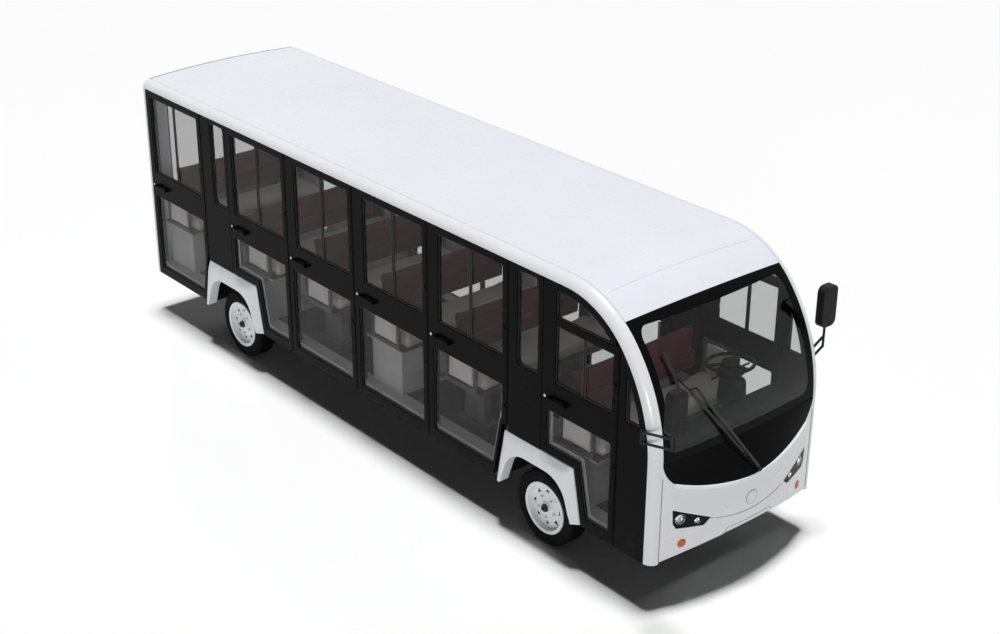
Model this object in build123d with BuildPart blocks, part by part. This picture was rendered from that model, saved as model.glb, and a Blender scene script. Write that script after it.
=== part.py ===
"""Enclosed sightseeing car with six bench rows and twelve front-hung doors.

+X points forward, +Y to the vehicle's left and +Z up. The origin is on the
ground under the middle of the car. All sizes are in millimetres.
"""
import os
from math import cos, radians, sin, sqrt

from build123d import *

os.makedirs("parts", exist_ok=True)

# Body envelope
BODY_HALF_WIDTH = 800.0
TAIL_X = -3215.0
SKIRT_Z = 360.0
ROOF_EDGE_Z = 2070.0
RAIL_RADIUS = 70.0
ROOF_CROWN = 28.0
ROOF_SKIN = 30.0

# Front arch: the roof edge bends down in two tangent arcs to an upright foot
ARCH_START_X = 2112.0
ARCH_UPPER_RADIUS = 703.0
ARCH_UPPER_TURN = 49.2
ARCH_LOWER_RADIUS = 1120.0
SCREEN_TOP_TURN = 38.5

# Side bays counted from the tail: name, length
TAIL_WALL = 24.0
BAY_LENGTHS = [
    ("row_6", 873.0),
    ("rear_wheel", 370.0),
    ("row_5", 855.0),
    ("row_4", 878.0),
    ("row_3", 894.0),
    ("row_2", 877.0),
    ("front_wheel", 346.0),
    ("row_1", 734.0),
]
DOOR_BAYS = ["row_1", "row_2", "row_3", "row_4", "row_5", "row_6"]
WHEEL_BAYS = ["front_wheel", "rear_wheel"]
SIDES = [("left", 1), ("right", -1)]

# Doors and fixed side panels
SEAM_GAP = 6.0
DOOR_THICKNESS = 36.0
DOOR_TOP_GAP = 6.0
PANEL_THICKNESS = 43.0
UPPER_REAR_STILE = {
    "row_1": 126.0,
    "row_2": 114.0,
    "row_3": 120.0,
    "row_4": 111.0,
    "row_5": 76.0,
    "row_6": 62.0,
}
LOWER_REAR_STILE = 52.0
FRONT_STILE = 62.0
PANE_CORNER = 14.0
BELT_LOW_Z = 1115.0
BELT_HIGH_Z = 1330.0
WINDOW_LOW_Z = 432.0
WINDOW_HIGH_Z = 2014.0
FRONT_TRANSOM_Z = 1790.0
FRONT_TRANSOM = 56.0
ARCH_FRAME = 56.0
MULLION = 12.0
MULLION_DEPTH = 9.0
GLASS = 5.0
PANEL_REAR_STILE = {"front_wheel": 87.0, "rear_wheel": 140.0}
PANEL_FRONT_STILE = {"front_wheel": 45.0, "rear_wheel": 30.0}
PANEL_ARCH_FRAME = 34.0
PANEL_PANE_CORNER = 34.0
QUARTER_STILE = 58.0
QUARTER_TOP_Z = 1700.0

# Door hinges and handles
HINGE_HEIGHTS = [960.0, 1560.0]
HINGE_PLATE = 12.0
HINGE_PIN_RADIUS = 7.0
HINGE_PIN_REACH = 25.0
HINGE_NOTCH_CLEAR = 8.0
HINGE_NOTCH_GAP = 6.0
HINGE_EYE_RADIUS = 14.0
SWING_CLEAR = 36.0
FLARE_AT_HINGE = ["row_2", "row_6"]
RUNNING_CLEARANCE = 0.05
HANDLE_Z = 1210.0
HANDLE_FROM_SEAM = 68.0
HANDLE_LENGTH = 190.0
HANDLE_HEIGHT = 26.0
HANDLE_PROUD = 34.0
HANDLE_GRIP = 20.0
HANDLE_SPAN = 140.0
LOCK_RADIUS = 13.0
LOCK_FROM_SEAM = 36.0
LOCK_PROUD = 5.0

# Wheels
WHEEL_X = {"front": 1906.0, "rear": -1934.0}
TYRE_RADIUS = 288.0
TYRE_WIDTH = 165.0
TYRE_OUTER_Y = 762.0
TYRE_SHOULDER = 26.0
TYRE_BULGE = 30.0
RIM_RADIUS = 195.0
RIM_SEAT_RADIUS = 178.0
RIM_WALL = 9.0
DISC_INSET = 44.0
VENT_COUNT = 8
VENT_CIRCLE_RADIUS = 128.0
VENT_SIZE = 24.0
HUB_RADIUS = 62.0
HUB_DEPTH = 46.0
STUB_RADIUS = 29.0
KINGPIN_Y = 560.0
KINGPIN_RADIUS = 20.0
KINGPIN_EYE_RADIUS = 34.0
KINGPIN_EYE_HEIGHT = 70.0
YOKE_PLATE = 16.0
YOKE_GAP = 5.0

# Wheel flares
FLARE_HALF_FOOT = 430.0
FLARE_HALF_HEAD = 350.0
FLARE_TOP_Z = 770.0
FLARE_SHIFT = -26.0
FLARE_PROUD = 50.0
FLARE_TAPER = 48.0
FLARE_CLEAR = 10.0
FLARE_FRAME = 62.0
OPENING_HALF_FOOT = 366.0
OPENING_HALF_HEAD = 262.0
OPENING_TOP_Z = 662.0
OPENING_CORNER = 220.0
OPENING_SHIFT = -12.0

# Chassis, floor and posts
FLOOR_Z = 460.0
FLOOR_THICKNESS = 22.0
RAIL_Y = 380.0
RAIL_WIDTH = 60.0
RAIL_HEIGHT = 100.0
CROSS_WIDTH = 60.0
SILL_HEIGHT = 110.0
SILL_DEPTH = 57.0
POST_LENGTH = 50.0
POST_DEPTH = 40.0
HOUSE_GROW = 20.0
HOUSE_INNER_Y = 432.0
HOUSE_WALL = 8.0

CROSS_X = [-3060.0, -2400.0, -1460.0, -500.0, 450.0, 1380.0, 2400.0, 2800.0]
SILL_OUTRIGGERS = [2, 5, 1]
WELD_GAP = 0.3
REAR_WINDOW_HALF = 600.0
REAR_WINDOW_LOW_Z = 1150.0
REAR_WINDOW_HIGH_Z = 1960.0
TAIL_LAMP_Y = 712.0
TAIL_LAMP_Z = 900.0
TAIL_LAMP_WIDTH = 70.0
TAIL_LAMP_HEIGHT = 260.0
TAIL_LAMP_DEPTH = 12.0

TOW_PLATE = 20.0
TOW_X = -3115.0
TOW_RADIUS = 45.0
TOW_BORE_RADIUS = 16.0
BATTERY_X = -25.0
BATTERY_LENGTH = 1500.0
BATTERY_LOW_Z = 250.0
BATTERY_HEIGHT = 150.0
BATTERY_CORNER = 30.0
BEAM_WIDTH = 60.0
BEAM_HEIGHT = 50.0
AXLE_TUBE_RADIUS = 40.0
AXLE_TUBE_HALF = 640.0
MOTOR_RADIUS = 95.0
MOTOR_WIDTH = 360.0
SPRING_HALF = 400.0
SPRING_LEAF = 24.0
SPRING_WIDTH = 55.0
YOKE_REACH = 56.0
STUB_SHY = 3.0
RIM_SHY = 4.0
DISC_DISH = 16.0
HUB_CAP = 12.0

# Seats, measured forward from each row's rear seam
SEAT_HALF_WIDTH = 690.0
CUSHION_FRONT = 484.0
CUSHION_LOW_Z = 850.0
CUSHION_THICKNESS = 115.0
BACK_HALF_WIDTH = 610.0
BACK_FRONT = 84.0
BACK_THICKNESS = 60.0
BACK_LOW_Z = 1075.0
BACK_HIGH_Z = 1335.0
PAN_THICKNESS = 20.0
BACK_POST = 30.0
BACK_POST_Y = 420.0
BACK_CORNER = 40.0
BASE_INSET = 40.0
PEDESTAL_Y = 480.0
PEDESTAL_WIDTH = 70.0
PEDESTAL_LENGTH = 220.0
PEDESTAL_FORWARD = 180.0
FOOT_PLATE = 8.0
FOOT_MARGIN = 42.0
PAN_SHY = 14.0
GUARD_Y = 702.0
GUARD_TUBE = 22.0
GUARD_PAD = 16.0
GUARD_LENGTH = 340.0
GUARD_HIGH_Z = 1190.0
SEAT_BASES = {
    "row_1": "narrow",
    "row_2": "legs",
    "row_3": "wide",
    "row_4": "legs",
    "row_5": "narrow",
    "row_6": "wide",
}

# Driver's place
DASH_REAR_X = 2592.0
DASH_HALF_WIDTH = 700.0
DASH_LOW_Z = 840.0
DASH_HIGH_Z = 1060.0
DASH_LIP = 30.0
DASH_RAKE = 60.0
TOE_BOARD = 30.0
STEER_X = 2527.0
STEER_Y = 380.0
STEER_Z = 1293.0
STEER_TILT = 4.0
STEER_RADIUS = 163.0
STEER_GRIP = 13.0
STEER_GRIP_SIDES = 10
STEER_HUB_RADIUS = 42.0
STEER_SPOKES = [0.0, 120.0, 240.0]
COLUMN_RADIUS = 32.0
SHROUD_LENGTH = 120.0
SHROUD_WIDTH = 150.0
SHROUD_HEIGHT = 60.0
STALK_REACH = 190.0
STALK_RADIUS = 7.0

# Mirrors: side, foot (x, z), stem (x, z between the bars), head centre z
MIRROR_ARMS = [
    (1, (2852.0, 1330.0), (2932.0, 1468.0), 1736.0),
    (-1, (2872.0, 1292.0), (3180.0, 1384.0), 1614.0),
]
MIRROR_BAR_GAP = 76.0
MIRROR_Y = 850.0
MIRROR_FOOT = 14.0
MIRROR_TUBE = 9.0
MIRROR_WIDTH = 142.0
MIRROR_HEIGHT = 300.0
MIRROR_DEPTH = 60.0
MIRROR_CORNER = 45.0

# Wiper: pivots on the cowl with the arm tips, then both ends of the blade
WIPER_ARMS = [
    ((3090.0, -57.0, 984.0), (2944.0, -478.0, 1543.0)),
    ((3142.0, 46.0, 858.0), (2946.0, -419.0, 1543.0)),
]
WIPER_BLADE = [(2934.0, -545.0, 1540.0), (2810.0, -579.0, 1776.0)]
WIPER_TUBE = 6.0
WIPER_BOSS_RADIUS = 16.0
WIPER_BOSS_DEPTH = 30.0

# Nose
MASK_WALL = 14.0
MASK_SAG = 133.0
COWL_TUCK = 48.0
COWL_TOP_SAG = 24.0
SMILE_DROP = 267.0
SMILE_SHOULDER = (640.0, 150.0)
SMILE_BEND = (697.0, 87.0)
CHIN_Z = 376.0
CHIN_RISE = 88.0
LAMP_CORNERS = [(650.0, 755.0), (355.0, 623.0), (410.0, 578.0), (620.0, 607.0), (645.0, 650.0)]
LAMP_BEAMS = [(588.0, 667.0, 40.0), (455.0, 621.0, 28.0)]
INDICATORS = [(572.0, 486.0, 32.0)]
LAMP_RECESS = 4.0
LAMP_DEPTH = 40.0
BEAM_RECESS = 10.0
BEAM_LENS = 8.0
CREASE_DEPTH = 4.0
CREASE_SAG = 40.0
CREASE_WIDTH = 22.0
CREASE_OVERRUN = 30.0
RECESS_CORNERS = [(-262.0, 430.0), (-206.0, 492.0), (206.0, 492.0), (262.0, 430.0)]
BADGE_Z = 652.0
BADGE_RADIUS = 48.0
BADGE_PROUD = 3.0
SCREEN_THICKNESS = 20.0
SCREEN_RECESS = 4.0
SCREEN_BAND = 62.0
SCREEN_CORNER = 70.0

rail_inner_y = BODY_HALF_WIDTH - RAIL_RADIUS
panel_inner_y = BODY_HALF_WIDTH - PANEL_THICKNESS
hinge_radius = DOOR_THICKNESS / 2
hinge_y = BODY_HALF_WIDTH - hinge_radius
deck_low_z = FLOOR_Z - FLOOR_THICKNESS
frame_low_z = deck_low_z - RAIL_HEIGHT
sill_low_z = deck_low_z - SILL_HEIGHT
tyre_centre_y = TYRE_OUTER_Y - TYRE_WIDTH / 2
pan_low_z = CUSHION_LOW_Z - PAN_THICKNESS
ON_FLOOR = (Align.CENTER, Align.CENTER, Align.MIN)
UNDER = (Align.CENTER, Align.CENTER, Align.MAX)
BOTTOM_EDGE = (Align.CENTER, Align.MIN)
LOW_CORNER = (Align.MIN, Align.MIN)

bays = {}
seam = TAIL_X + TAIL_WALL + SEAM_GAP / 2
for bay_name, bay_length in BAY_LENGTHS:
    bays[bay_name] = (seam, seam + bay_length)
    seam += bay_length
quarter_rear_x = seam
seams = [rear for rear, front in bays.values()] + [quarter_rear_x]

# Points of the arch line, the edge between the white rail and the black side
upper_centre = (ARCH_START_X, ROOF_EDGE_Z - ARCH_UPPER_RADIUS)
turn = radians(ARCH_UPPER_TURN)
arch_joint_x = upper_centre[0] + ARCH_UPPER_RADIUS * sin(turn)
arch_joint_z = upper_centre[1] + ARCH_UPPER_RADIUS * cos(turn)
lower_centre = (
    arch_joint_x - ARCH_LOWER_RADIUS * sin(turn),
    arch_joint_z - ARCH_LOWER_RADIUS * cos(turn),
)
pillar_x = lower_centre[0] + ARCH_LOWER_RADIUS
screen_low_z = lower_centre[1]
pillar_front_x = pillar_x + RAIL_RADIUS
nose_x = pillar_front_x + MASK_SAG
smile_centre_z = screen_low_z - SMILE_DROP
cowl_low_z = smile_centre_z - COWL_TUCK


def write(builder, name):
    """Label a finished sub-part and write it under that name."""
    builder.part.label = name
    export_step(builder.part, f"parts/{name}.step")


def side_plane(side, y):
    """XZ plane on one side of the body: side times a positive extrude goes inwards."""
    return Plane.XZ.offset(-side * y)


def flare_outline(grow):
    """Corners of a wheel flare's outline about its wheel centre, grown by a margin."""
    low = SKIRT_Z - FLARE_PROUD * 3
    slope = (FLARE_HALF_FOOT - FLARE_HALF_HEAD) / (FLARE_TOP_Z - SKIRT_Z)
    foot = FLARE_HALF_FOOT + grow + slope * (SKIRT_Z - low)
    head = FLARE_HALF_HEAD + grow - slope * grow
    return [(-foot, low), (-head, FLARE_TOP_Z + grow), (head, FLARE_TOP_Z + grow), (foot, low)]


def flares_sketch(grow):
    """Both wheel flares' outlines in side view, grown by a margin."""
    with BuildSketch(mode=Mode.PRIVATE) as outlines:
        for wheel_x in WHEEL_X.values():
            with Locations((wheel_x + FLARE_SHIFT, 0)):
                Polygon(*flare_outline(grow), align=None)
    return outlines.sketch


def below_arch_sketch(margin):
    """Side view of everything below and behind the arch line, a margin away from it."""
    top = ROOF_EDGE_Z - margin
    foot_x = pillar_x - margin
    with BuildSketch(mode=Mode.PRIVATE) as inside:
        with BuildLine():
            Line((TAIL_X, top), (ARCH_START_X, top))
            CenterArc(upper_centre, ARCH_UPPER_RADIUS - margin, 90, -ARCH_UPPER_TURN)
            CenterArc(lower_centre, ARCH_LOWER_RADIUS - margin, 90 - ARCH_UPPER_TURN, ARCH_UPPER_TURN - 90)
            Polyline((foot_x, screen_low_z), (foot_x, 0), (TAIL_X, 0), (TAIL_X, top))
        make_face()
    return inside.sketch


def arch_height(x):
    """Height of the arch line over a place along the car."""
    if x <= ARCH_START_X:
        return ROOF_EDGE_Z
    if x <= arch_joint_x:
        return upper_centre[1] + sqrt(ARCH_UPPER_RADIUS**2 - (x - upper_centre[0]) ** 2)
    return lower_centre[1] + sqrt(ARCH_LOWER_RADIUS**2 - (x - lower_centre[0]) ** 2)


def door_panes_sketch(bay, mullion):
    """Side view of a door's panes: the upper sliding pair, parted by a mullion, and the lower light."""
    rear, front = bays[bay]
    right = front - FRONT_STILE
    upper_left = rear + UPPER_REAR_STILE[bay]
    lights = [
        (upper_left, BELT_HIGH_Z, WINDOW_HIGH_Z),
        (rear + LOWER_REAR_STILE, WINDOW_LOW_Z, BELT_LOW_Z),
    ]
    middle = (upper_left + right) / 2
    mullion_top_z = FRONT_TRANSOM_Z if bay == "row_1" else WINDOW_HIGH_Z
    with BuildSketch(mode=Mode.PRIVATE) as panes:
        for left, low, high in lights:
            with Locations(((left + right) / 2, (low + high) / 2)):
                RectangleRounded(right - left, high - low, PANE_CORNER)
        add(flares_sketch(FLARE_FRAME), mode=Mode.SUBTRACT)
        add(below_arch_sketch(ARCH_FRAME), mode=Mode.INTERSECT)
        if mullion > 0:
            with Locations((middle, (BELT_HIGH_Z + mullion_top_z) / 2)):
                Rectangle(mullion, mullion_top_z - BELT_HIGH_Z, mode=Mode.SUBTRACT)
        if bay == "row_1":
            with Locations((middle, FRONT_TRANSOM_Z)):
                Rectangle(right - upper_left, FRONT_TRANSOM, mode=Mode.SUBTRACT)
    return panes.sketch


def fixed_panes_sketch():
    """Side view of the fixed panes: one in each wheel bay and one in the front quarter."""
    with BuildSketch(mode=Mode.PRIVATE) as panes:
        for bay in WHEEL_BAYS:
            left = bays[bay][0] + PANEL_REAR_STILE[bay]
            right = bays[bay][1] - PANEL_FRONT_STILE[bay]
            high = ROOF_EDGE_Z - PANEL_ARCH_FRAME
            with Locations(((left + right) / 2, (BELT_HIGH_Z + high) / 2)):
                RectangleRounded(right - left, high - BELT_HIGH_Z, PANEL_PANE_CORNER)
        left = quarter_rear_x + QUARTER_STILE
        right = pillar_x - QUARTER_STILE
        with BuildSketch(mode=Mode.PRIVATE) as quarter:
            with Locations(((left + right) / 2, (BELT_HIGH_Z + QUARTER_TOP_Z) / 2)):
                Rectangle(right - left, QUARTER_TOP_Z - BELT_HIGH_Z)
            add(below_arch_sketch(ARCH_FRAME), mode=Mode.INTERSECT)
        add(quarter.sketch)
    return panes.sketch


def strip_sketch(low, high):
    """Section of a strip between the rails, crowned across, low to high above the roof edge."""
    with BuildSketch(mode=Mode.PRIVATE) as strip:
        with BuildLine():
            for level in (low, high):
                ThreePointArc(
                    (-rail_inner_y, ROOF_EDGE_Z + level),
                    (0, ROOF_EDGE_Z + level + ROOF_CROWN),
                    (rail_inner_y, ROOF_EDGE_Z + level),
                )
            for y in (-rail_inner_y, rail_inner_y):
                Line((y, ROOF_EDGE_Z + low), (y, ROOF_EDGE_Z + high))
        make_face()
    return strip.sketch


def bowed_sketch(sag, inset):
    """Plan view of a nose section: a front arc of the given bow, inset from its face."""
    ends_x = nose_x - MASK_SAG - inset
    back_x = pillar_x - RAIL_RADIUS
    with BuildSketch(mode=Mode.PRIVATE) as plan:
        with BuildLine():
            ThreePointArc((ends_x, -rail_inner_y), (ends_x + sag, 0), (ends_x, rail_inner_y))
            Polyline(
                (ends_x, rail_inner_y),
                (back_x, rail_inner_y),
                (back_x, -rail_inner_y),
                (ends_x, -rail_inner_y),
            )
        make_face()
    return plan.sketch


def nose_shell_sketch(outer, inner):
    """Plan view of the nose wall between two depths behind its face."""
    with BuildSketch(mode=Mode.PRIVATE) as wall:
        add(bowed_sketch(MASK_SAG, outer))
        add(bowed_sketch(MASK_SAG, inner), mode=Mode.SUBTRACT)
    return wall.sketch


def lamp_housings_sketch():
    """Front view of both headlamp housings."""
    with BuildSketch(mode=Mode.PRIVATE) as housings:
        for hand in (-1, 1):
            Polygon(*[(hand * y, z) for y, z in LAMP_CORNERS], align=None)
    return housings.sketch


def discs_sketch(discs):
    """Front view of round pieces that stand on both sides: each is y, z, radius."""
    with BuildSketch(mode=Mode.PRIVATE) as rounds:
        for y, z, radius in discs:
            for hand in (-1, 1):
                with Locations((hand * y, z)):
                    Circle(radius)
    return rounds.sketch


def mask_lines_sketch():
    """Front view of the mask's cut lines: a crease between the lamps and a recess in the chin."""
    tip_y, tip_z = LAMP_CORNERS[1]
    end_y = tip_y + CREASE_OVERRUN
    with BuildSketch(mode=Mode.PRIVATE) as lines:
        with BuildLine():
            ThreePointArc((-end_y, tip_z), (0, tip_z - CREASE_SAG), (end_y, tip_z))
            ThreePointArc((-end_y, tip_z), (0, tip_z - CREASE_SAG - CREASE_WIDTH), (end_y, tip_z))
        make_face()
        Polygon(*RECESS_CORNERS, align=None)
    return lines.sketch


def smile_sketch():
    """Front view of the black cowl: the space above the mask's smiling upper edge."""
    shoulder_y, shoulder_drop = SMILE_SHOULDER
    bend_y, bend_drop = SMILE_BEND
    shoulder_z = screen_low_z - shoulder_drop
    bend_z = screen_low_z - bend_drop
    with BuildSketch(mode=Mode.PRIVATE) as smile:
        with BuildLine():
            ThreePointArc((-shoulder_y, shoulder_z), (0, smile_centre_z), (shoulder_y, shoulder_z))
            for hand in (-1, 1):
                ThreePointArc(
                    (hand * shoulder_y, shoulder_z),
                    (hand * bend_y, bend_z),
                    (hand * rail_inner_y, screen_low_z),
                )
            Line((-rail_inner_y, screen_low_z), (rail_inner_y, screen_low_z))
        make_face()
    return smile.sketch


# White roof rails that bend down into the front pillars
with BuildPart() as side_arches:
    with BuildLine(Plane.XZ) as arch_line:
        Line((TAIL_X, ROOF_EDGE_Z), (ARCH_START_X, ROOF_EDGE_Z))
        CenterArc(upper_centre, ARCH_UPPER_RADIUS, 90, -ARCH_UPPER_TURN)
        CenterArc(lower_centre, ARCH_LOWER_RADIUS, 90 - ARCH_UPPER_TURN, ARCH_UPPER_TURN - 90)
        Line((pillar_x, screen_low_z), (pillar_x, SKIRT_Z))
    with BuildSketch(Plane.YZ.offset(TAIL_X)):
        with BuildLine():
            CenterArc((-rail_inner_y, ROOF_EDGE_Z), RAIL_RADIUS, 90, 90)
            Polyline(
                (-BODY_HALF_WIDTH, ROOF_EDGE_Z),
                (-rail_inner_y, ROOF_EDGE_Z),
                (-rail_inner_y, ROOF_EDGE_Z + RAIL_RADIUS),
            )
        make_face()
    sweep(path=arch_line.wire())
    mirror(about=Plane.XZ)
write(side_arches, "side_arches")

# White roof skin between the rails
with BuildPart() as roof_panel:
    with BuildLine(Plane.XZ) as roof_line:
        Line((TAIL_X, ROOF_EDGE_Z), (ARCH_START_X, ROOF_EDGE_Z))
        CenterArc(upper_centre, ARCH_UPPER_RADIUS, 90, -SCREEN_TOP_TURN)
    with BuildSketch(Plane.YZ.offset(TAIL_X)):
        add(strip_sketch(RAIL_RADIUS - ROOF_SKIN, RAIL_RADIUS))
    sweep(path=roof_line.wire())
write(roof_panel, "roof_panel")

# Windscreen: a black surround swept down the arch, with the clear pane let into it
screen_turn = radians(SCREEN_TOP_TURN)
screen_top_z = upper_centre[1] + (ARCH_UPPER_RADIUS + RAIL_RADIUS) * cos(screen_turn)
clear_low_z = screen_low_z + SCREEN_BAND
clear_high_z = screen_top_z - SCREEN_BAND * sin(screen_turn)
clear_half_width = rail_inner_y - SCREEN_BAND
screen_high = RAIL_RADIUS - SCREEN_RECESS
with BuildSketch(Plane.YZ, mode=Mode.PRIVATE) as clear_view:
    with Locations((0, (clear_low_z + clear_high_z) / 2)):
        RectangleRounded(2 * clear_half_width, clear_high_z - clear_low_z, SCREEN_CORNER)
with BuildLine(Plane.XZ, mode=Mode.PRIVATE) as screen_line:
    CenterArc(upper_centre, ARCH_UPPER_RADIUS, 90 - SCREEN_TOP_TURN, SCREEN_TOP_TURN - ARCH_UPPER_TURN)
    CenterArc(lower_centre, ARCH_LOWER_RADIUS, 90 - ARCH_UPPER_TURN, ARCH_UPPER_TURN - 90)
screen_outward = Vector(sin(screen_turn), 0, cos(screen_turn))
screen_tangent = Vector(cos(screen_turn), 0, -sin(screen_turn))
screen_start = Vector(upper_centre[0], 0, upper_centre[1]) + screen_outward * ARCH_UPPER_RADIUS
screen_plane = Plane(screen_start - screen_outward * ROOF_EDGE_Z, x_dir=(0, 1, 0), z_dir=screen_tangent)
with BuildPart() as windscreen_surround:
    with BuildSketch(screen_plane):
        add(strip_sketch(screen_high - SCREEN_THICKNESS, screen_high))
    sweep(path=screen_line.wire())
    with BuildSketch(Plane.YZ):
        add(clear_view.sketch_local)
    extrude(amount=nose_x, mode=Mode.SUBTRACT)
write(windscreen_surround, "windscreen_surround")

with BuildPart() as windscreen_glass:
    with BuildSketch(screen_plane):
        add(strip_sketch(screen_high - GLASS, screen_high - 1))
    sweep(path=screen_line.wire())
    with BuildSketch(Plane.YZ):
        add(clear_view.sketch_local)
    extrude(amount=nose_x, mode=Mode.INTERSECT)
write(windscreen_glass, "windscreen_glass")

# White front mask with lamp openings, a blank round boss and a raised chin
with BuildPart() as front_mask:
    with BuildSketch(Plane.XY):
        add(nose_shell_sketch(0, MASK_WALL))
    extrude(amount=screen_low_z)
    with BuildSketch(Plane.YZ):
        add(smile_sketch())
        with BuildLine():
            ThreePointArc((-rail_inner_y, CHIN_Z), (0, CHIN_Z + CHIN_RISE), (rail_inner_y, CHIN_Z))
            Polyline((rail_inner_y, CHIN_Z), (rail_inner_y, 0), (-rail_inner_y, 0), (-rail_inner_y, CHIN_Z))
        make_face()
        add(lamp_housings_sketch())
        add(discs_sketch(INDICATORS))
    extrude(amount=2 * nose_x, mode=Mode.SUBTRACT)
    with BuildPart(mode=Mode.SUBTRACT):
        with BuildSketch(Plane.XY):
            add(nose_shell_sketch(0, CREASE_DEPTH))
        extrude(amount=screen_low_z)
        with BuildSketch(Plane.YZ):
            add(mask_lines_sketch())
        extrude(amount=2 * nose_x, mode=Mode.INTERSECT)
    with Locations(Plane((nose_x - MASK_WALL / 2, 0, BADGE_Z), z_dir=(1, 0, 0))):
        Cylinder(BADGE_RADIUS, MASK_WALL / 2 + BADGE_PROUD, align=ON_FLOOR)
write(front_mask, "front_mask")

# Black cowl between the windscreen and the mask: straight above, bowed below
cowl_low_sag = MASK_SAG * (screen_low_z - cowl_low_z) / (screen_low_z - smile_centre_z)
with BuildPart() as cowl_panel:
    for mode, inset in ((Mode.ADD, 0), (Mode.SUBTRACT, MASK_WALL)):
        with BuildSketch(Plane.XY.offset(cowl_low_z)):
            add(bowed_sketch(cowl_low_sag, inset))
        with BuildSketch(Plane.XY.offset(screen_low_z)):
            add(bowed_sketch(COWL_TOP_SAG, inset))
        loft(mode=mode)
    with BuildSketch(Plane.YZ):
        add(smile_sketch())
    extrude(amount=2 * nose_x, mode=Mode.INTERSECT)
write(cowl_panel, "cowl_panel")

# Headlamp housings with sunk beams
with BuildPart() as headlamp_housings:
    with BuildSketch(Plane.XY):
        add(nose_shell_sketch(LAMP_RECESS, LAMP_DEPTH))
    extrude(amount=screen_low_z)
    with BuildSketch(Plane.YZ):
        add(lamp_housings_sketch())
    extrude(amount=2 * nose_x, mode=Mode.INTERSECT)
    with BuildPart(mode=Mode.SUBTRACT):
        with BuildSketch(Plane.XY):
            add(nose_shell_sketch(0, LAMP_DEPTH - BEAM_LENS))
        extrude(amount=screen_low_z)
        with BuildSketch(Plane.YZ):
            add(discs_sketch(LAMP_BEAMS))
        extrude(amount=2 * nose_x, mode=Mode.INTERSECT)
write(headlamp_housings, "headlamp_housings")

# White rear wall with its window and tail lamps
with BuildSketch(Plane.YZ, mode=Mode.PRIVATE) as rear_view:
    with Locations((0, (REAR_WINDOW_LOW_Z + REAR_WINDOW_HIGH_Z) / 2)):
        RectangleRounded(2 * REAR_WINDOW_HALF, REAR_WINDOW_HIGH_Z - REAR_WINDOW_LOW_Z, SCREEN_CORNER)
with BuildSketch(Plane.YZ, mode=Mode.PRIVATE) as tail_view:
    for hand in (-1, 1):
        with Locations((hand * TAIL_LAMP_Y, TAIL_LAMP_Z)):
            RectangleRounded(TAIL_LAMP_WIDTH, TAIL_LAMP_HEIGHT, TAIL_LAMP_WIDTH / 3)
with BuildPart() as rear_wall:
    with BuildSketch(Plane.YZ.offset(TAIL_X)):
        add(strip_sketch(-DOOR_TOP_GAP, RAIL_RADIUS - ROOF_SKIN))
        with Locations((0, (SKIRT_Z + ROOF_EDGE_Z) / 2)):
            Rectangle(2 * BODY_HALF_WIDTH, ROOF_EDGE_Z - SKIRT_Z)
        add(rear_view.sketch_local, mode=Mode.SUBTRACT)
    extrude(amount=TAIL_WALL)
    with BuildSketch(Plane.YZ.offset(TAIL_X)):
        add(tail_view.sketch_local)
    extrude(amount=TAIL_LAMP_DEPTH, mode=Mode.SUBTRACT)
write(rear_wall, "rear_wall")

# Lamp lenses: headlamp beams and indicators in the mask, upright lamps in the rear wall
with BuildPart() as lamp_lenses:
    for rounds, outer, inner in (
        (LAMP_BEAMS, BEAM_RECESS, BEAM_RECESS + BEAM_LENS),
        (INDICATORS, -LAMP_RECESS, MASK_WALL),
    ):
        with BuildPart():
            with BuildSketch(Plane.XY):
                add(nose_shell_sketch(outer, inner))
            extrude(amount=screen_low_z)
            with BuildSketch(Plane.YZ):
                add(discs_sketch(rounds))
            extrude(amount=2 * nose_x, mode=Mode.INTERSECT)
    with BuildSketch(Plane.YZ.offset(TAIL_X)):
        add(tail_view.sketch_local)
    extrude(amount=TAIL_LAMP_DEPTH)
write(lamp_lenses, "lamp_lenses")

# Wheel houses shaped like the flares, open below and towards the wheel
house_depth = panel_inner_y - HOUSE_INNER_Y
with BuildPart() as house_blocks:
    for hand in (-1, 1):
        with BuildSketch(side_plane(hand, panel_inner_y)):
            add(flares_sketch(HOUSE_GROW))
        extrude(amount=hand * house_depth)
    with Locations((0, 0, sill_low_z)):
        Box(2 * nose_x, 2 * BODY_HALF_WIDTH, sill_low_z, align=UNDER, mode=Mode.SUBTRACT)
with BuildPart() as wheel_houses:
    add(house_blocks.part)
    for hand in (-1, 1):
        with BuildSketch(side_plane(hand, panel_inner_y)):
            add(flares_sketch(HOUSE_GROW - HOUSE_WALL))
        extrude(amount=hand * (house_depth - HOUSE_WALL), mode=Mode.SUBTRACT)
write(wheel_houses, "wheel_houses")

# Floor deck, notched for the wheel houses
firewall_x = pillar_x - POST_LENGTH
with BuildPart() as floor_deck:
    with Locations(((TAIL_X + TAIL_WALL + firewall_x) / 2, 0, deck_low_z)):
        Box(firewall_x - TAIL_X - TAIL_WALL, 2 * panel_inner_y, FLOOR_THICKNESS, align=ON_FLOOR)
    add(house_blocks.part, mode=Mode.SUBTRACT)
write(floor_deck, "floor_deck")

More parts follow.
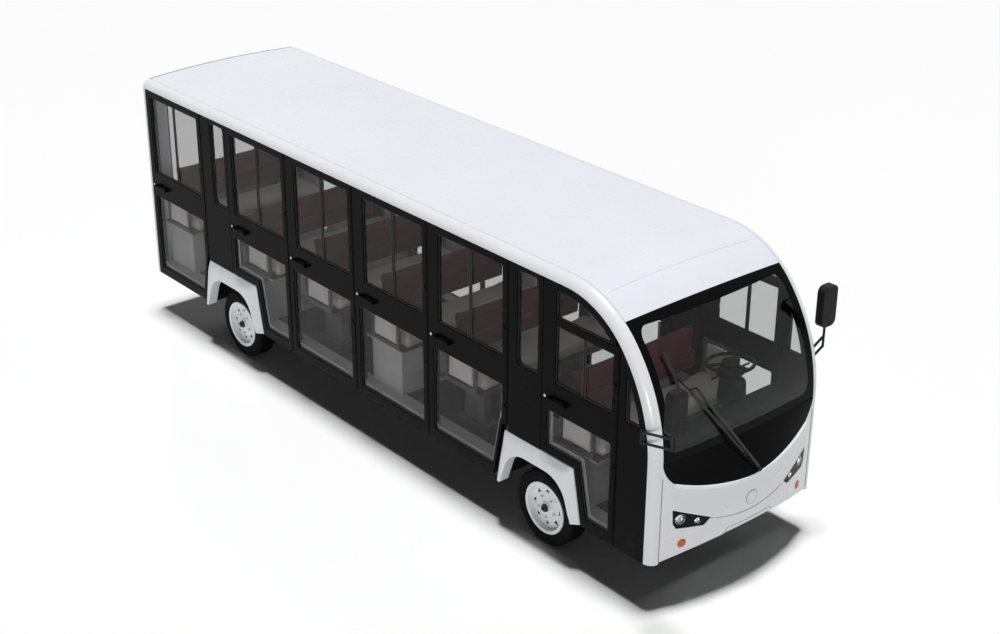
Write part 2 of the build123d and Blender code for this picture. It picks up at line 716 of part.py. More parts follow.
# Ladder frame: rails with cross-members and a towing plate, and side sills on outriggers
frame_middle_x = (TAIL_X + TAIL_WALL + firewall_x) / 2
sill_inner_y = panel_inner_y - SILL_DEPTH
outrigger_reach = sill_inner_y - RAIL_Y - RAIL_WIDTH / 2 - WELD_GAP
house_foot = flare_outline(HOUSE_GROW)[-1][0]
sill_ends = [TAIL_X + TAIL_WALL]
for wheel_x in (WHEEL_X["rear"], WHEEL_X["front"]):
    sill_ends += [wheel_x + FLARE_SHIFT - house_foot, wheel_x + FLARE_SHIFT + house_foot]
sill_ends.append(firewall_x)
with BuildPart() as chassis_frame:
    for hand in (-1, 1):
        with Locations((frame_middle_x, hand * RAIL_Y, frame_low_z)):
            Box(firewall_x - TAIL_X - TAIL_WALL, RAIL_WIDTH, RAIL_HEIGHT, align=ON_FLOOR)
        for low_x, high_x, outriggers in zip(sill_ends[0::2], sill_ends[1::2], SILL_OUTRIGGERS):
            length = high_x - low_x
            with Locations(((low_x + high_x) / 2, hand * (panel_inner_y - SILL_DEPTH / 2), sill_low_z)):
                Box(length, SILL_DEPTH, SILL_HEIGHT, align=ON_FLOOR)
            for step in range(outriggers):
                x = low_x + length * (step + 0.5) / outriggers
                with Locations((x, hand * (sill_inner_y - outrigger_reach / 2), deck_low_z - CROSS_WIDTH)):
                    Box(CROSS_WIDTH, outrigger_reach, CROSS_WIDTH, align=ON_FLOOR)
    for x in CROSS_X:
        with Locations((x, 0, frame_low_z)):
            Box(CROSS_WIDTH, 2 * RAIL_Y - RAIL_WIDTH, RAIL_HEIGHT, align=ON_FLOOR)
    with BuildSketch(Plane.XY.offset(frame_low_z - TOW_PLATE)):
        with Locations((TOW_X, 0)):
            SlotCenterToCenter(TOW_RADIUS, 2 * TOW_RADIUS)
            with Locations((-TOW_RADIUS / 2, 0)):
                Circle(TOW_BORE_RADIUS, mode=Mode.SUBTRACT)
    extrude(amount=TOW_PLATE)
write(chassis_frame, "chassis_frame")

# Battery box carried between the rails
with BuildPart() as battery_box:
    with Locations((BATTERY_X, 0, BATTERY_LOW_Z)):
        Box(BATTERY_LENGTH, 2 * RAIL_Y - RAIL_WIDTH, BATTERY_HEIGHT, align=ON_FLOOR)
    fillet(battery_box.edges().filter_by(Axis.Z), BATTERY_CORNER)
    for x in CROSS_X:
        with Locations((x, 0, frame_low_z)):
            Box(CROSS_WIDTH, 2 * RAIL_Y, RAIL_HEIGHT, align=ON_FLOOR, mode=Mode.SUBTRACT)
write(battery_box, "battery_box")

# Posts behind the seams, from the deck up to the rails
with BuildPart() as side_posts:
    for x in seams:
        for hand in (-1, 1):
            low_x = max(x - POST_LENGTH / 2, TAIL_X + TAIL_WALL)
            high_x = x + POST_LENGTH / 2
            with Locations(((low_x + high_x) / 2, hand * (panel_inner_y - POST_DEPTH / 2), FLOOR_Z)):
                Box(high_x - low_x, POST_DEPTH, ROOF_EDGE_Z - FLOOR_Z, align=ON_FLOOR)
    with BuildSketch(Plane.XZ):
        add(below_arch_sketch(0))
        add(flares_sketch(HOUSE_GROW), mode=Mode.SUBTRACT)
    extrude(amount=BODY_HALF_WIDTH, both=True, mode=Mode.INTERSECT)
write(side_posts, "side_posts")

# Fixed black panels over the wheels and in the front quarters, and their panes
with BuildSketch(mode=Mode.PRIVATE) as fixed_outline:
    for bay in WHEEL_BAYS:
        low_x = bays[bay][0] + SEAM_GAP / 2
        high_x = bays[bay][1] - SEAM_GAP / 2
        with Locations(((low_x + high_x) / 2, (FLARE_TOP_Z + ROOF_EDGE_Z) / 2)):
            Rectangle(high_x - low_x, ROOF_EDGE_Z - FLARE_TOP_Z)
    with Locations(((quarter_rear_x + SEAM_GAP / 2 + pillar_x) / 2, (SKIRT_Z + ROOF_EDGE_Z) / 2)):
        Rectangle(pillar_x - quarter_rear_x - SEAM_GAP / 2, ROOF_EDGE_Z - SKIRT_Z)
    add(below_arch_sketch(0), mode=Mode.INTERSECT)
    add(fixed_panes_sketch(), mode=Mode.SUBTRACT)
with BuildPart() as fixed_panels:
    for hand in (-1, 1):
        with BuildSketch(side_plane(hand, BODY_HALF_WIDTH)):
            add(fixed_outline.sketch)
        extrude(amount=hand * PANEL_THICKNESS)
write(fixed_panels, "fixed_panels")

with BuildPart() as fixed_glass:
    for hand in (-1, 1):
        with BuildSketch(side_plane(hand, hinge_y + GLASS / 2)):
            add(fixed_panes_sketch())
        extrude(amount=hand * GLASS)
    with BuildSketch(Plane.YZ.offset(TAIL_X + TAIL_WALL / 2)):
        add(rear_view.sketch_local)
    extrude(amount=GLASS)
write(fixed_glass, "fixed_glass")

# White wheel flares, tapered out to the lip of the arch
with BuildSketch(mode=Mode.PRIVATE) as arch_opening:
    with BuildLine():
        low = SKIRT_Z - FLARE_PROUD
        FilletPolyline(
            (-OPENING_HALF_FOOT, low),
            (-OPENING_HALF_FOOT, SKIRT_Z),
            (-OPENING_HALF_HEAD, OPENING_TOP_Z),
            (OPENING_HALF_HEAD, OPENING_TOP_Z),
            (OPENING_HALF_FOOT, SKIRT_Z),
            (OPENING_HALF_FOOT, low),
            radius=OPENING_CORNER,
        )
        Line((OPENING_HALF_FOOT, low), (-OPENING_HALF_FOOT, low))
    make_face()
with BuildPart() as wheel_flares:
    for hand in (-1, 1):
        for wheel_x in WHEEL_X.values():
            with BuildSketch(side_plane(hand, BODY_HALF_WIDTH)):
                with Locations((wheel_x + FLARE_SHIFT, 0)):
                    Polygon(*flare_outline(0), align=None)
            extrude(amount=-hand * FLARE_PROUD, taper=FLARE_TAPER)
            with BuildSketch(side_plane(hand, BODY_HALF_WIDTH)):
                with Locations((wheel_x + FLARE_SHIFT, 0)):
                    Polygon(*flare_outline(0), align=None)
            extrude(amount=hand * PANEL_THICKNESS)
    for wheel_x in WHEEL_X.values():
        with BuildSketch(Plane.XZ):
            with Locations((wheel_x + OPENING_SHIFT, 0)):
                add(arch_opening.sketch)
        extrude(amount=2 * BODY_HALF_WIDTH, both=True, mode=Mode.SUBTRACT)
    with Locations((0, 0, 0)):
        Box(2 * nose_x, 4 * BODY_HALF_WIDTH, SKIRT_Z, align=ON_FLOOR, mode=Mode.SUBTRACT)
write(wheel_flares, "wheel_flares")

# Doors: black framed leaves with a pull handle, hinged at the front edge, and their panes
notch_radius = hinge_radius + HINGE_NOTCH_CLEAR
notch_height = HINGE_PLATE + 2 * HINGE_NOTCH_GAP
bore_height = notch_height + 2 * (HINGE_PIN_REACH + HINGE_NOTCH_GAP)
for bay in DOOR_BAYS:
    rear, front = bays[bay]
    free_x = rear + SEAM_GAP / 2
    hinge_x = front - SEAM_GAP / 2 - hinge_radius
    handle_x = rear + HANDLE_FROM_SEAM
    flare_clear = SWING_CLEAR if bay in FLARE_AT_HINGE else FLARE_CLEAR
    for side, hand in SIDES:
        with BuildPart() as leaf:
            with Locations(((free_x + hinge_x) / 2, hand * hinge_y, SKIRT_Z)):
                Box(hinge_x - free_x, DOOR_THICKNESS, ROOF_EDGE_Z - SKIRT_Z, align=ON_FLOOR)
            with Locations((hinge_x, hand * hinge_y, SKIRT_Z)):
                Cylinder(hinge_radius, ROOF_EDGE_Z - SKIRT_Z, align=ON_FLOOR)
            with BuildSketch(Plane.XZ):
                add(below_arch_sketch(DOOR_TOP_GAP))
                add(flares_sketch(flare_clear), mode=Mode.SUBTRACT)
                add(door_panes_sketch(bay, MULLION), mode=Mode.SUBTRACT)
            extrude(amount=2 * BODY_HALF_WIDTH, both=True, mode=Mode.INTERSECT)
            for face_y in (BODY_HALF_WIDTH, BODY_HALF_WIDTH - DOOR_THICKNESS):
                inwards = hand if face_y == BODY_HALF_WIDTH else -hand
                with BuildSketch(side_plane(hand, face_y)):
                    add(door_panes_sketch(bay, 0))
                extrude(amount=inwards * (DOOR_THICKNESS - MULLION_DEPTH) / 2, mode=Mode.SUBTRACT)
            with Locations((hinge_x, hand * hinge_y, arch_height(hinge_x + hinge_radius) - DOOR_TOP_GAP)):
                Box(2 * notch_radius, 2 * notch_radius, ROOF_EDGE_Z, align=ON_FLOOR, mode=Mode.SUBTRACT)
            for z in HINGE_HEIGHTS:
                with Locations((hinge_x, hand * hinge_y, z)):
                    Cylinder(notch_radius, notch_height, mode=Mode.SUBTRACT)
                    Cylinder(HINGE_PIN_RADIUS + RUNNING_CLEARANCE, bore_height, mode=Mode.SUBTRACT)
            with BuildSketch(side_plane(hand, BODY_HALF_WIDTH + HANDLE_PROUD)):
                with Locations((handle_x + HANDLE_LENGTH / 2, HANDLE_Z)):
                    SlotOverall(HANDLE_LENGTH, HANDLE_HEIGHT)
            extrude(amount=hand * HANDLE_PROUD)
            grip_y = hand * (BODY_HALF_WIDTH + HANDLE_GRIP / 2)
            with Locations((handle_x + HANDLE_LENGTH / 2, grip_y, HANDLE_Z)):
                Box(HANDLE_SPAN, HANDLE_GRIP, 2 * HANDLE_HEIGHT, mode=Mode.SUBTRACT)
            with Locations((rear + LOCK_FROM_SEAM, hand * BODY_HALF_WIDTH, HANDLE_Z)):
                Cylinder(LOCK_RADIUS, 2 * LOCK_PROUD, rotation=(90, 0, 0))
        write(leaf, f"door_{bay}_{side}")
        with BuildPart() as panes:
            with BuildSketch(side_plane(hand, hinge_y + GLASS / 2)):
                add(door_panes_sketch(bay, MULLION))
            extrude(amount=hand * GLASS)
        write(panes, f"door_glass_{bay}_{side}")

# Hinge brackets on the posts, each with a pin into the door stile above and below
with BuildPart() as door_hinges:
    for bay in DOOR_BAYS:
        hinge_x = bays[bay][1] - SEAM_GAP / 2 - hinge_radius
        for side, hand in SIDES:
            for z in HINGE_HEIGHTS:
                bracket_end_y = hinge_y + HINGE_EYE_RADIUS
                with Locations((hinge_x, hand * (panel_inner_y + bracket_end_y) / 2, z)):
                    Box(2 * HINGE_EYE_RADIUS, bracket_end_y - panel_inner_y, HINGE_PLATE)
                with Locations((hinge_x, hand * hinge_y, z)):
                    Cylinder(HINGE_PIN_RADIUS, notch_height + 2 * HINGE_PIN_REACH)
write(door_hinges, "door_hinges")

# Wheels: pressed steel rims with a vented disc, and low road tyres
rim_half = TYRE_WIDTH / 2 - RIM_SHY
disc_y = TYRE_OUTER_Y - DISC_INSET
tyre_half = TYRE_WIDTH / 2
for end, wheel_x in WHEEL_X.items():
    for side, hand in SIDES:
        axle = Axis((wheel_x, 0, TYRE_RADIUS), (0, 1, 0))
        wheel_centre = (wheel_x, hand * tyre_centre_y, TYRE_RADIUS)
        section_plane = Plane(wheel_centre, x_dir=(0, hand, 0), z_dir=(hand, 0, 0))
        with BuildPart() as tyre:
            with BuildSketch(section_plane):
                with BuildLine():
                    half = Polyline(
                        (0, RIM_SEAT_RADIUS),
                        (rim_half - RIM_WALL, RIM_SEAT_RADIUS),
                        (rim_half - RIM_WALL, RIM_RADIUS),
                    )
                    Polyline(
                        half @ 1,
                        (tyre_half, RIM_RADIUS + TYRE_BULGE),
                        (tyre_half, TYRE_RADIUS - TYRE_BULGE),
                        (tyre_half - TYRE_SHOULDER / 3, TYRE_RADIUS - TYRE_SHOULDER / 2),
                        (tyre_half - TYRE_SHOULDER, TYRE_RADIUS),
                        (0, TYRE_RADIUS),
                    )
                    mirror(about=Plane.YZ)
                make_face()
            revolve(axis=axle)
        write(tyre, f"tyre_{end}_{side}")

        with BuildPart() as rim:
            with BuildSketch(section_plane):
                with Locations((0, RIM_SEAT_RADIUS - RIM_WALL / 2)):
                    Rectangle(2 * rim_half, RIM_WALL)
                for edge in (-1, 1):
                    with Locations((edge * (rim_half - RIM_WALL / 2), RIM_SEAT_RADIUS - RIM_WALL)):
                        Rectangle(RIM_WALL, RIM_RADIUS - RIM_SEAT_RADIUS + RIM_WALL, align=BOTTOM_EDGE)
                disc_x = disc_y - tyre_centre_y
                Polygon(
                    (disc_x, RIM_SEAT_RADIUS - RIM_WALL / 2),
                    (disc_x - RIM_WALL, RIM_SEAT_RADIUS - RIM_WALL / 2),
                    (disc_x + DISC_DISH - RIM_WALL, HUB_RADIUS),
                    (disc_x + DISC_DISH, HUB_RADIUS),
                    align=None,
                )
                with Locations((disc_x + DISC_DISH - HUB_DEPTH, STUB_RADIUS + RUNNING_CLEARANCE)):
                    Rectangle(HUB_DEPTH, HUB_RADIUS - STUB_RADIUS - RUNNING_CLEARANCE, align=LOW_CORNER)
                with Locations((disc_x + DISC_DISH, 0)):
                    Rectangle(HUB_CAP, HUB_RADIUS * 2 / 3, align=LOW_CORNER)
            revolve(axis=axle)
            vent_plane = Plane(wheel_centre, x_dir=(1, 0, 0), z_dir=(0, 1, 0))
            with BuildSketch(vent_plane):
                with PolarLocations(VENT_CIRCLE_RADIUS, VENT_COUNT):
                    RegularPolygon(VENT_SIZE, 3)
            extrude(amount=TYRE_WIDTH, both=True, mode=Mode.SUBTRACT)
        write(rim, f"rim_{end}_{side}")

# Steering knuckles: a yoke round the axle eye, the kingpin and the stub axle
yoke_half = KINGPIN_EYE_HEIGHT / 2 + YOKE_GAP + YOKE_PLATE
stub_end_y = disc_y + DISC_DISH - STUB_SHY
for side, hand in SIDES:
    with BuildPart() as knuckle:
        with Locations((WHEEL_X["front"], hand * KINGPIN_Y, TYRE_RADIUS)):
            Cylinder(KINGPIN_RADIUS, 2 * yoke_half)
        for edge in (-1, 1):
            plate_z = TYRE_RADIUS + edge * (yoke_half - YOKE_PLATE / 2)
            with Locations((WHEEL_X["front"], hand * KINGPIN_Y, plate_z)):
                Cylinder(KINGPIN_EYE_RADIUS, YOKE_PLATE)
            with Locations((WHEEL_X["front"], hand * (KINGPIN_Y + YOKE_REACH / 2), plate_z)):
                Box(2 * KINGPIN_EYE_RADIUS, YOKE_REACH, YOKE_PLATE)
        with Locations((WHEEL_X["front"], hand * (KINGPIN_Y + YOKE_REACH - YOKE_PLATE / 2), TYRE_RADIUS)):
            Box(2 * KINGPIN_EYE_RADIUS, YOKE_PLATE, 2 * yoke_half)
        stub_start = KINGPIN_Y + YOKE_REACH - YOKE_PLATE
        with Locations((WHEEL_X["front"], hand * (stub_start + stub_end_y) / 2, TYRE_RADIUS)):
            Cylinder(STUB_RADIUS, stub_end_y - stub_start, rotation=(90, 0, 0))
    write(knuckle, f"knuckle_{side}")

# Axles on leaf springs: a front beam with kingpin eyes and a driven rear tube
spring_y = RAIL_Y
with BuildPart() as axles:
    with Locations((WHEEL_X["front"], 0, TYRE_RADIUS)):
        Box(BEAM_WIDTH, 2 * KINGPIN_Y, BEAM_HEIGHT)
    for hand in (-1, 1):
        with Locations((WHEEL_X["front"], hand * KINGPIN_Y, TYRE_RADIUS)):
            Cylinder(KINGPIN_EYE_RADIUS, KINGPIN_EYE_HEIGHT)
            Cylinder(KINGPIN_RADIUS + RUNNING_CLEARANCE, KINGPIN_EYE_HEIGHT, mode=Mode.SUBTRACT)
    with Locations((WHEEL_X["rear"], 0, TYRE_RADIUS)):
        Cylinder(AXLE_TUBE_RADIUS, 2 * AXLE_TUBE_HALF, rotation=(90, 0, 0))
        Cylinder(STUB_RADIUS, 2 * stub_end_y, rotation=(90, 0, 0))
        Cylinder(MOTOR_RADIUS, MOTOR_WIDTH, rotation=(90, 0, 0))
    for wheel_x in WHEEL_X.values():
        for hand in (-1, 1):
            with BuildSketch(Plane.XZ.offset(-hand * spring_y)):
                with BuildLine():
                    under = TYRE_RADIUS - BEAM_HEIGHT / 2
                    low_arc = ThreePointArc(
                        (wheel_x - SPRING_HALF, frame_low_z - SPRING_LEAF),
                        (wheel_x, under - SPRING_LEAF),
                        (wheel_x + SPRING_HALF, frame_low_z - SPRING_LEAF),
                    )
                    Line(low_arc @ 1, low_arc @ 1 + (0, SPRING_LEAF))
                    high_arc = ThreePointArc(
                        (wheel_x + SPRING_HALF, frame_low_z),
                        (wheel_x, under),
                        (wheel_x - SPRING_HALF, frame_low_z),
                    )
                    Line(high_arc @ 1, low_arc @ 0)
                make_face()
            extrude(amount=SPRING_WIDTH / 2, both=True)
            with Locations((wheel_x, hand * spring_y, under - SPRING_LEAF)):
                Box(BEAM_WIDTH, SPRING_WIDTH, SPRING_LEAF + BEAM_HEIGHT / 2, align=ON_FLOOR)
write(axles, "axles")

# Bench seats in six rows: frames, cushions and backrests
with BuildPart() as seat_frames:
    for bay, base in SEAT_BASES.items():
        rear = bays[bay][0]
        pan_x = rear + (BACK_FRONT - BACK_THICKNESS + CUSHION_FRONT - PAN_SHY) / 2
        pan_length = CUSHION_FRONT - PAN_SHY - BACK_FRONT + BACK_THICKNESS
        with Locations((pan_x, 0, pan_low_z)):
            Box(pan_length, 2 * GUARD_Y + GUARD_TUBE, PAN_THICKNESS, align=ON_FLOOR)
        if base == "legs":
            for hand in (-1, 1):
                with Locations((rear + PEDESTAL_FORWARD, hand * PEDESTAL_Y, FLOOR_Z)):
                    Box(PEDESTAL_LENGTH, PEDESTAL_WIDTH, pan_low_z - FLOOR_Z, align=ON_FLOOR)
                    Box(
                        PEDESTAL_LENGTH + 2 * FOOT_MARGIN,
                        PEDESTAL_WIDTH + 2 * FOOT_MARGIN,
                        FOOT_PLATE,
                        align=ON_FLOOR,
                    )
        else:
            half = SEAT_HALF_WIDTH if base == "wide" else HOUSE_INNER_Y - PAN_THICKNESS
            with Locations((pan_x, 0, FLOOR_Z)):
                Box(pan_length - 2 * BASE_INSET, 2 * half, pan_low_z - FLOOR_Z, align=ON_FLOOR)
        for hand in (-1, 1):
            with Locations((rear + BACK_FRONT - BACK_THICKNESS / 2, hand * BACK_POST_Y, CUSHION_LOW_Z)):
                Box(BACK_POST, BACK_POST, BACK_LOW_Z - CUSHION_LOW_Z, align=ON_FLOOR)
            with BuildSketch(side_plane(hand, GUARD_Y + GUARD_TUBE / 2)):
                with Locations((rear + BACK_FRONT + GUARD_LENGTH / 2, CUSHION_LOW_Z)):
                    Rectangle(GUARD_LENGTH, GUARD_HIGH_Z - CUSHION_LOW_Z, align=BOTTOM_EDGE)
                    with Locations((0, GUARD_TUBE)):
                        Rectangle(
                            GUARD_LENGTH - 2 * GUARD_TUBE,
                            GUARD_HIGH_Z - CUSHION_LOW_Z - 2 * GUARD_TUBE,
                            align=BOTTOM_EDGE,
                            mode=Mode.SUBTRACT,
                        )
            extrude(amount=hand * GUARD_TUBE)
write(seat_frames, "seat_frames")

with BuildPart() as seat_cushions:
    for bay in SEAT_BASES:
        rear = bays[bay][0]
        with Locations((rear + (BACK_FRONT + CUSHION_FRONT) / 2, 0, CUSHION_LOW_Z)):
            Box(CUSHION_FRONT - BACK_FRONT, 2 * SEAT_HALF_WIDTH, CUSHION_THICKNESS, align=ON_FLOOR)
        for hand in (-1, 1):
            pad_z = (CUSHION_LOW_Z + GUARD_HIGH_Z) / 2
            with Locations((rear + BACK_FRONT + GUARD_LENGTH / 2, hand * GUARD_Y, pad_z)):
                Box(
                    GUARD_LENGTH - 2 * GUARD_TUBE,
                    GUARD_PAD,
                    GUARD_HIGH_Z - CUSHION_LOW_Z - 2 * GUARD_TUBE,
                )
write(seat_cushions, "seat_cushions")

with BuildPart() as seat_backs:
    for bay in SEAT_BASES:
        back_x = bays[bay][0] + BACK_FRONT - BACK_THICKNESS / 2
        with Locations((back_x, 0, BACK_LOW_Z)):
            Box(BACK_THICKNESS, 2 * BACK_HALF_WIDTH, BACK_HIGH_Z - BACK_LOW_Z, align=ON_FLOOR)
    fillet(seat_backs.edges().filter_by(Axis.X), BACK_CORNER)
write(seat_backs, "seat_backs")

# Dashboard on a toe board
with BuildPart() as dashboard:
    with BuildSketch(Plane.XZ):
        with BuildLine():
            Polyline(
                (firewall_x, FLOOR_Z),
                (firewall_x - TOE_BOARD, FLOOR_Z),
                (firewall_x - TOE_BOARD, DASH_LOW_Z),
                (DASH_REAR_X + DASH_RAKE, DASH_LOW_Z),
                (DASH_REAR_X, DASH_HIGH_Z - DASH_LIP),
                (DASH_REAR_X + DASH_LIP, DASH_HIGH_Z),
                (firewall_x, DASH_HIGH_Z + DASH_LIP),
                close=True,
            )
        make_face()
    extrude(amount=DASH_HALF_WIDTH, both=True)
write(dashboard, "dashboard")

# Steering column with shroud, stalks and a nearly flat wheel
tilt = radians(STEER_TILT)
hub_plane = Plane((STEER_X, STEER_Y, STEER_Z), z_dir=(-sin(tilt), 0, cos(tilt)))
with BuildPart() as steering_gear:
    with Locations((STEER_X, STEER_Y, FLOOR_Z)):
        Cylinder(COLUMN_RADIUS, STEER_Z - FLOOR_Z - SHROUD_HEIGHT / 2, align=ON_FLOOR)
    with Locations(hub_plane):
        with Locations((0, 0, -SHROUD_HEIGHT / 2)):
            Box(SHROUD_LENGTH, SHROUD_WIDTH, SHROUD_HEIGHT, align=(Align.CENTER, Align.CENTER, Align.MAX))
        Cylinder(STEER_HUB_RADIUS, SHROUD_HEIGHT)
        for angle in STEER_SPOKES:
            with Locations(Location((0, 0, 0), (0, 0, angle))):
                with Locations((STEER_RADIUS / 2, 0, 0)):
                    Box(STEER_RADIUS, 2 * STEER_GRIP, STEER_GRIP)
        for hand in (-1, 1):
            with Locations((0, hand * STALK_REACH / 2, -SHROUD_HEIGHT)):
                Cylinder(STALK_RADIUS, STALK_REACH, rotation=(90, 0, 0))
    with BuildSketch(Plane(hub_plane.origin, x_dir=hub_plane.x_dir, z_dir=-hub_plane.y_dir)):
        with Locations((STEER_RADIUS, 0)):
            RegularPolygon(STEER_GRIP, STEER_GRIP_SIDES)
    revolve(axis=Axis(hub_plane.origin, hub_plane.z_dir))
write(steering_gear, "steering_gear")

# Outside mirrors: two bars carry an upright stem, further forward on the right
with BuildPart() as mirrors:
    for hand, foot, stem, head_z in MIRROR_ARMS:
        with Locations((foot[0], hand * (BODY_HALF_WIDTH + MIRROR_FOOT / 2), foot[1])):
            Box(3 * MIRROR_FOOT, MIRROR_FOOT, MIRROR_BAR_GAP + 4 * MIRROR_TUBE)
        for rise in (-MIRROR_BAR_GAP / 2, MIRROR_BAR_GAP / 2):
            start = Vector(foot[0], hand * (BODY_HALF_WIDTH + MIRROR_FOOT), foot[1] + rise)
            end = Vector(stem[0], hand * MIRROR_Y, stem[1] + rise)
            with Locations(Plane(start, z_dir=end - start)):
                Cylinder(MIRROR_TUBE, (end - start).length, align=ON_FLOOR)
        stem_low_z = stem[1] - MIRROR_BAR_GAP / 2 - MIRROR_TUBE
        with Locations((stem[0], hand * MIRROR_Y, stem_low_z)):
            Cylinder(MIRROR_TUBE, head_z - stem_low_z, align=ON_FLOOR)
        with BuildSketch(Plane.YZ.offset(stem[0] - MIRROR_DEPTH / 2)):
            with Locations((hand * MIRROR_Y, head_z)):
                RectangleRounded(MIRROR_WIDTH, MIRROR_HEIGHT, MIRROR_CORNER)
        extrude(amount=MIRROR_DEPTH)
write(mirrors, "mirrors")

# Windscreen wiper: two parallel arms from the cowl to one blade
low, high = [Vector(*point) for point in WIPER_BLADE]
tips = [Vector(*tip) for pivot, tip in WIPER_ARMS]
wiper_runs = [(Vector(*pivot), Vector(*tip)) for pivot, tip in WIPER_ARMS]
wiper_runs += [(tips[0], tips[1]), (tips[0], (low + high) / 2), (low, high)]
with BuildPart() as wiper:
    for start, end in wiper_runs:
        with Locations(Plane(start, z_dir=end - start)):
            Cylinder(WIPER_TUBE, (end - start).length, align=ON_FLOOR)
        with Locations(end):
            Sphere(WIPER_TUBE)
    for pivot, tip in WIPER_ARMS:
        with Locations(Plane(pivot, z_dir=(1, 0, 0))):
            Cylinder(WIPER_BOSS_RADIUS, WIPER_BOSS_DEPTH + 2 * WIPER_TUBE, align=UNDER)
    add(cowl_panel.part, mode=Mode.SUBTRACT)
write(wiper, "wiper")
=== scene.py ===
# %% [markdown]
# A six-row sightseeing car stands on a white studio floor. This script loads the CAD model from model.glb
# as a fixed frame and dresses it: paint, glass, rubber, upholstery, lamps and small fittings. Loading first
# matters, because every new piece takes its place from the imported solids and not by eye.

# %% Load the imported car
import math

import bmesh
import bpy
from mathutils import Matrix, Vector


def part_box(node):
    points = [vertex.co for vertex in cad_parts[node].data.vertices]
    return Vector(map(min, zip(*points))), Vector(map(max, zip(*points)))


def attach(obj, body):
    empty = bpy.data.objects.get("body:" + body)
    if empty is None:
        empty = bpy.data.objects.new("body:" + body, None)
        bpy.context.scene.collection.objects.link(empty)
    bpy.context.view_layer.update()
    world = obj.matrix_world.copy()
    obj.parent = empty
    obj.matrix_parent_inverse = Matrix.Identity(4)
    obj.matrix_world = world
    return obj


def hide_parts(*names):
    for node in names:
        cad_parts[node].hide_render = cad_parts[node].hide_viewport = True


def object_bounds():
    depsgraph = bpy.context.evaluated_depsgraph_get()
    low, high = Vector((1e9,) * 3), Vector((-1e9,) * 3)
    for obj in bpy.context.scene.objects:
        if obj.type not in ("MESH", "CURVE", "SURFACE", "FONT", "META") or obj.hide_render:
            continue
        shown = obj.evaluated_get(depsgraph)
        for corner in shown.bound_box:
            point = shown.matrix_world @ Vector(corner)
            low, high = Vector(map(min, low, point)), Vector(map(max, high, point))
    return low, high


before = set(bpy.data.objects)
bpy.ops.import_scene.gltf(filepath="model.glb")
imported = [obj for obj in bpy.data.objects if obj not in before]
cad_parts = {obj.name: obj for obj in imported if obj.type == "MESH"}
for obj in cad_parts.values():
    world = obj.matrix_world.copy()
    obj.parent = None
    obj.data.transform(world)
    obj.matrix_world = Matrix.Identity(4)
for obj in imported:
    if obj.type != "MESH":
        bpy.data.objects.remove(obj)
cad_low, cad_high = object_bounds()
scene = bpy.context.scene
scene.view_settings.view_transform = "Standard"
print("loaded", len(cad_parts), "solids; box", [round(v, 3) for v in (*cad_low, *cad_high)])

# %% [markdown]
# The photograph was taken from above the right front corner with a moderate tele lens. The camera can be
# aimed by hand or turned by three angles. The angles are used here, because they were solved from the
# straight edges of the body and can be written down exactly: how far round, how high and how much it
# leans.

# %% Camera
CAMERA_AT = Vector((9.4622, -7.6881, 6.6574))
CAMERA_ROUND = math.radians(49.236)
CAMERA_HIGH = math.radians(25.532)
CAMERA_LEAN = math.radians(0.3716)
SENSOR_WIDTH = 36
LENS = 61.973
FAR_LIMIT = 200
turns = ((CAMERA_ROUND, "Z"), (math.pi / 2 - CAMERA_HIGH, "X"), (CAMERA_LEAN, "Z"))
camera = bpy.data.objects.new("camera", bpy.data.cameras.new("camera"))
scene.collection.objects.link(camera)
camera.data.sensor_width = SENSOR_WIDTH
camera.data.lens = LENS
camera.data.clip_end = FAR_LIMIT
pose = Matrix.Translation(CAMERA_AT)
for angle, axis in turns:
    pose = pose @ Matrix.Rotation(angle, 4, axis)
camera.matrix_world = pose
scene.camera = camera
print("camera at", tuple(CAMERA_AT), "lens", LENS)

# %% [markdown]
# The dome of the studio is plain white to the camera, in gloss and through glass, but it lights very
# little by itself. Two backgrounds do that: the kind of ray chooses between a bright one and a dim one.

# %% Studio dome
DOME_LIGHT = 0.01
DOME_TINT = (0.96, 0.98, 1.0, 1)
world = bpy.data.worlds.new("studio_dome")
scene.world = world
world.use_nodes = True
tree = world.node_tree
dome = tree.nodes["Background"]
dome.inputs["Color"].default_value = DOME_TINT
dome.inputs["Strength"].default_value = DOME_LIGHT
plain = tree.nodes.new("ShaderNodeBackground")
plain.inputs["Strength"].default_value = 1
rays = tree.nodes.new("ShaderNodeLightPath")
seen = rays.outputs["Is Camera Ray"]
for kind in ("Is Transmission Ray", "Is Glossy Ray"):
    either = tree.nodes.new("ShaderNodeMath")
    either.operation = "MAXIMUM"
    tree.links.new(seen, either.inputs[0])
    tree.links.new(rays.outputs[kind], either.inputs[1])
    seen = either.outputs[0]
choice = tree.nodes.new("ShaderNodeMixShader")
tree.links.new(seen, choice.inputs[0])
tree.links.new(dome.outputs[0], choice.inputs[1])
tree.links.new(plain.outputs[0], choice.inputs[2])
tree.links.new(choice.outputs[0], tree.nodes["World Output"].inputs["Surface"])
print("dome lights with", DOME_LIGHT)

# %% [markdown]
# The car was lit from straight above with a fairly small source, because its shadow is black at the sill
# and ends within half a metre. One sun overhead gives that, a low one beside the camera lifts the flanks,
# and the white floor throws the rest back up.

# %% Studio suns
SUNS = {
    "overhead_sun": {"power": 3.15, "spread": 10, "comes_from": (-0.012, 0.022, 1.0)},
    "low_fill": {"power": 1.15, "spread": 12, "comes_from": (0.62, -0.72, 0.014)},
}
for name, light in SUNS.items():
    sun = bpy.data.objects.new(name, bpy.data.lights.new(name, "SUN"))
    sun.data.energy = light["power"]
    sun.data.angle = math.radians(light["spread"])
    sun.matrix_world = Vector(light["comes_from"]).to_track_quat("Z", "Y").to_matrix().to_4x4()
    scene.collection.objects.link(sun)
    print(name, "of", light["power"], "spread over", light["spread"], "degrees")

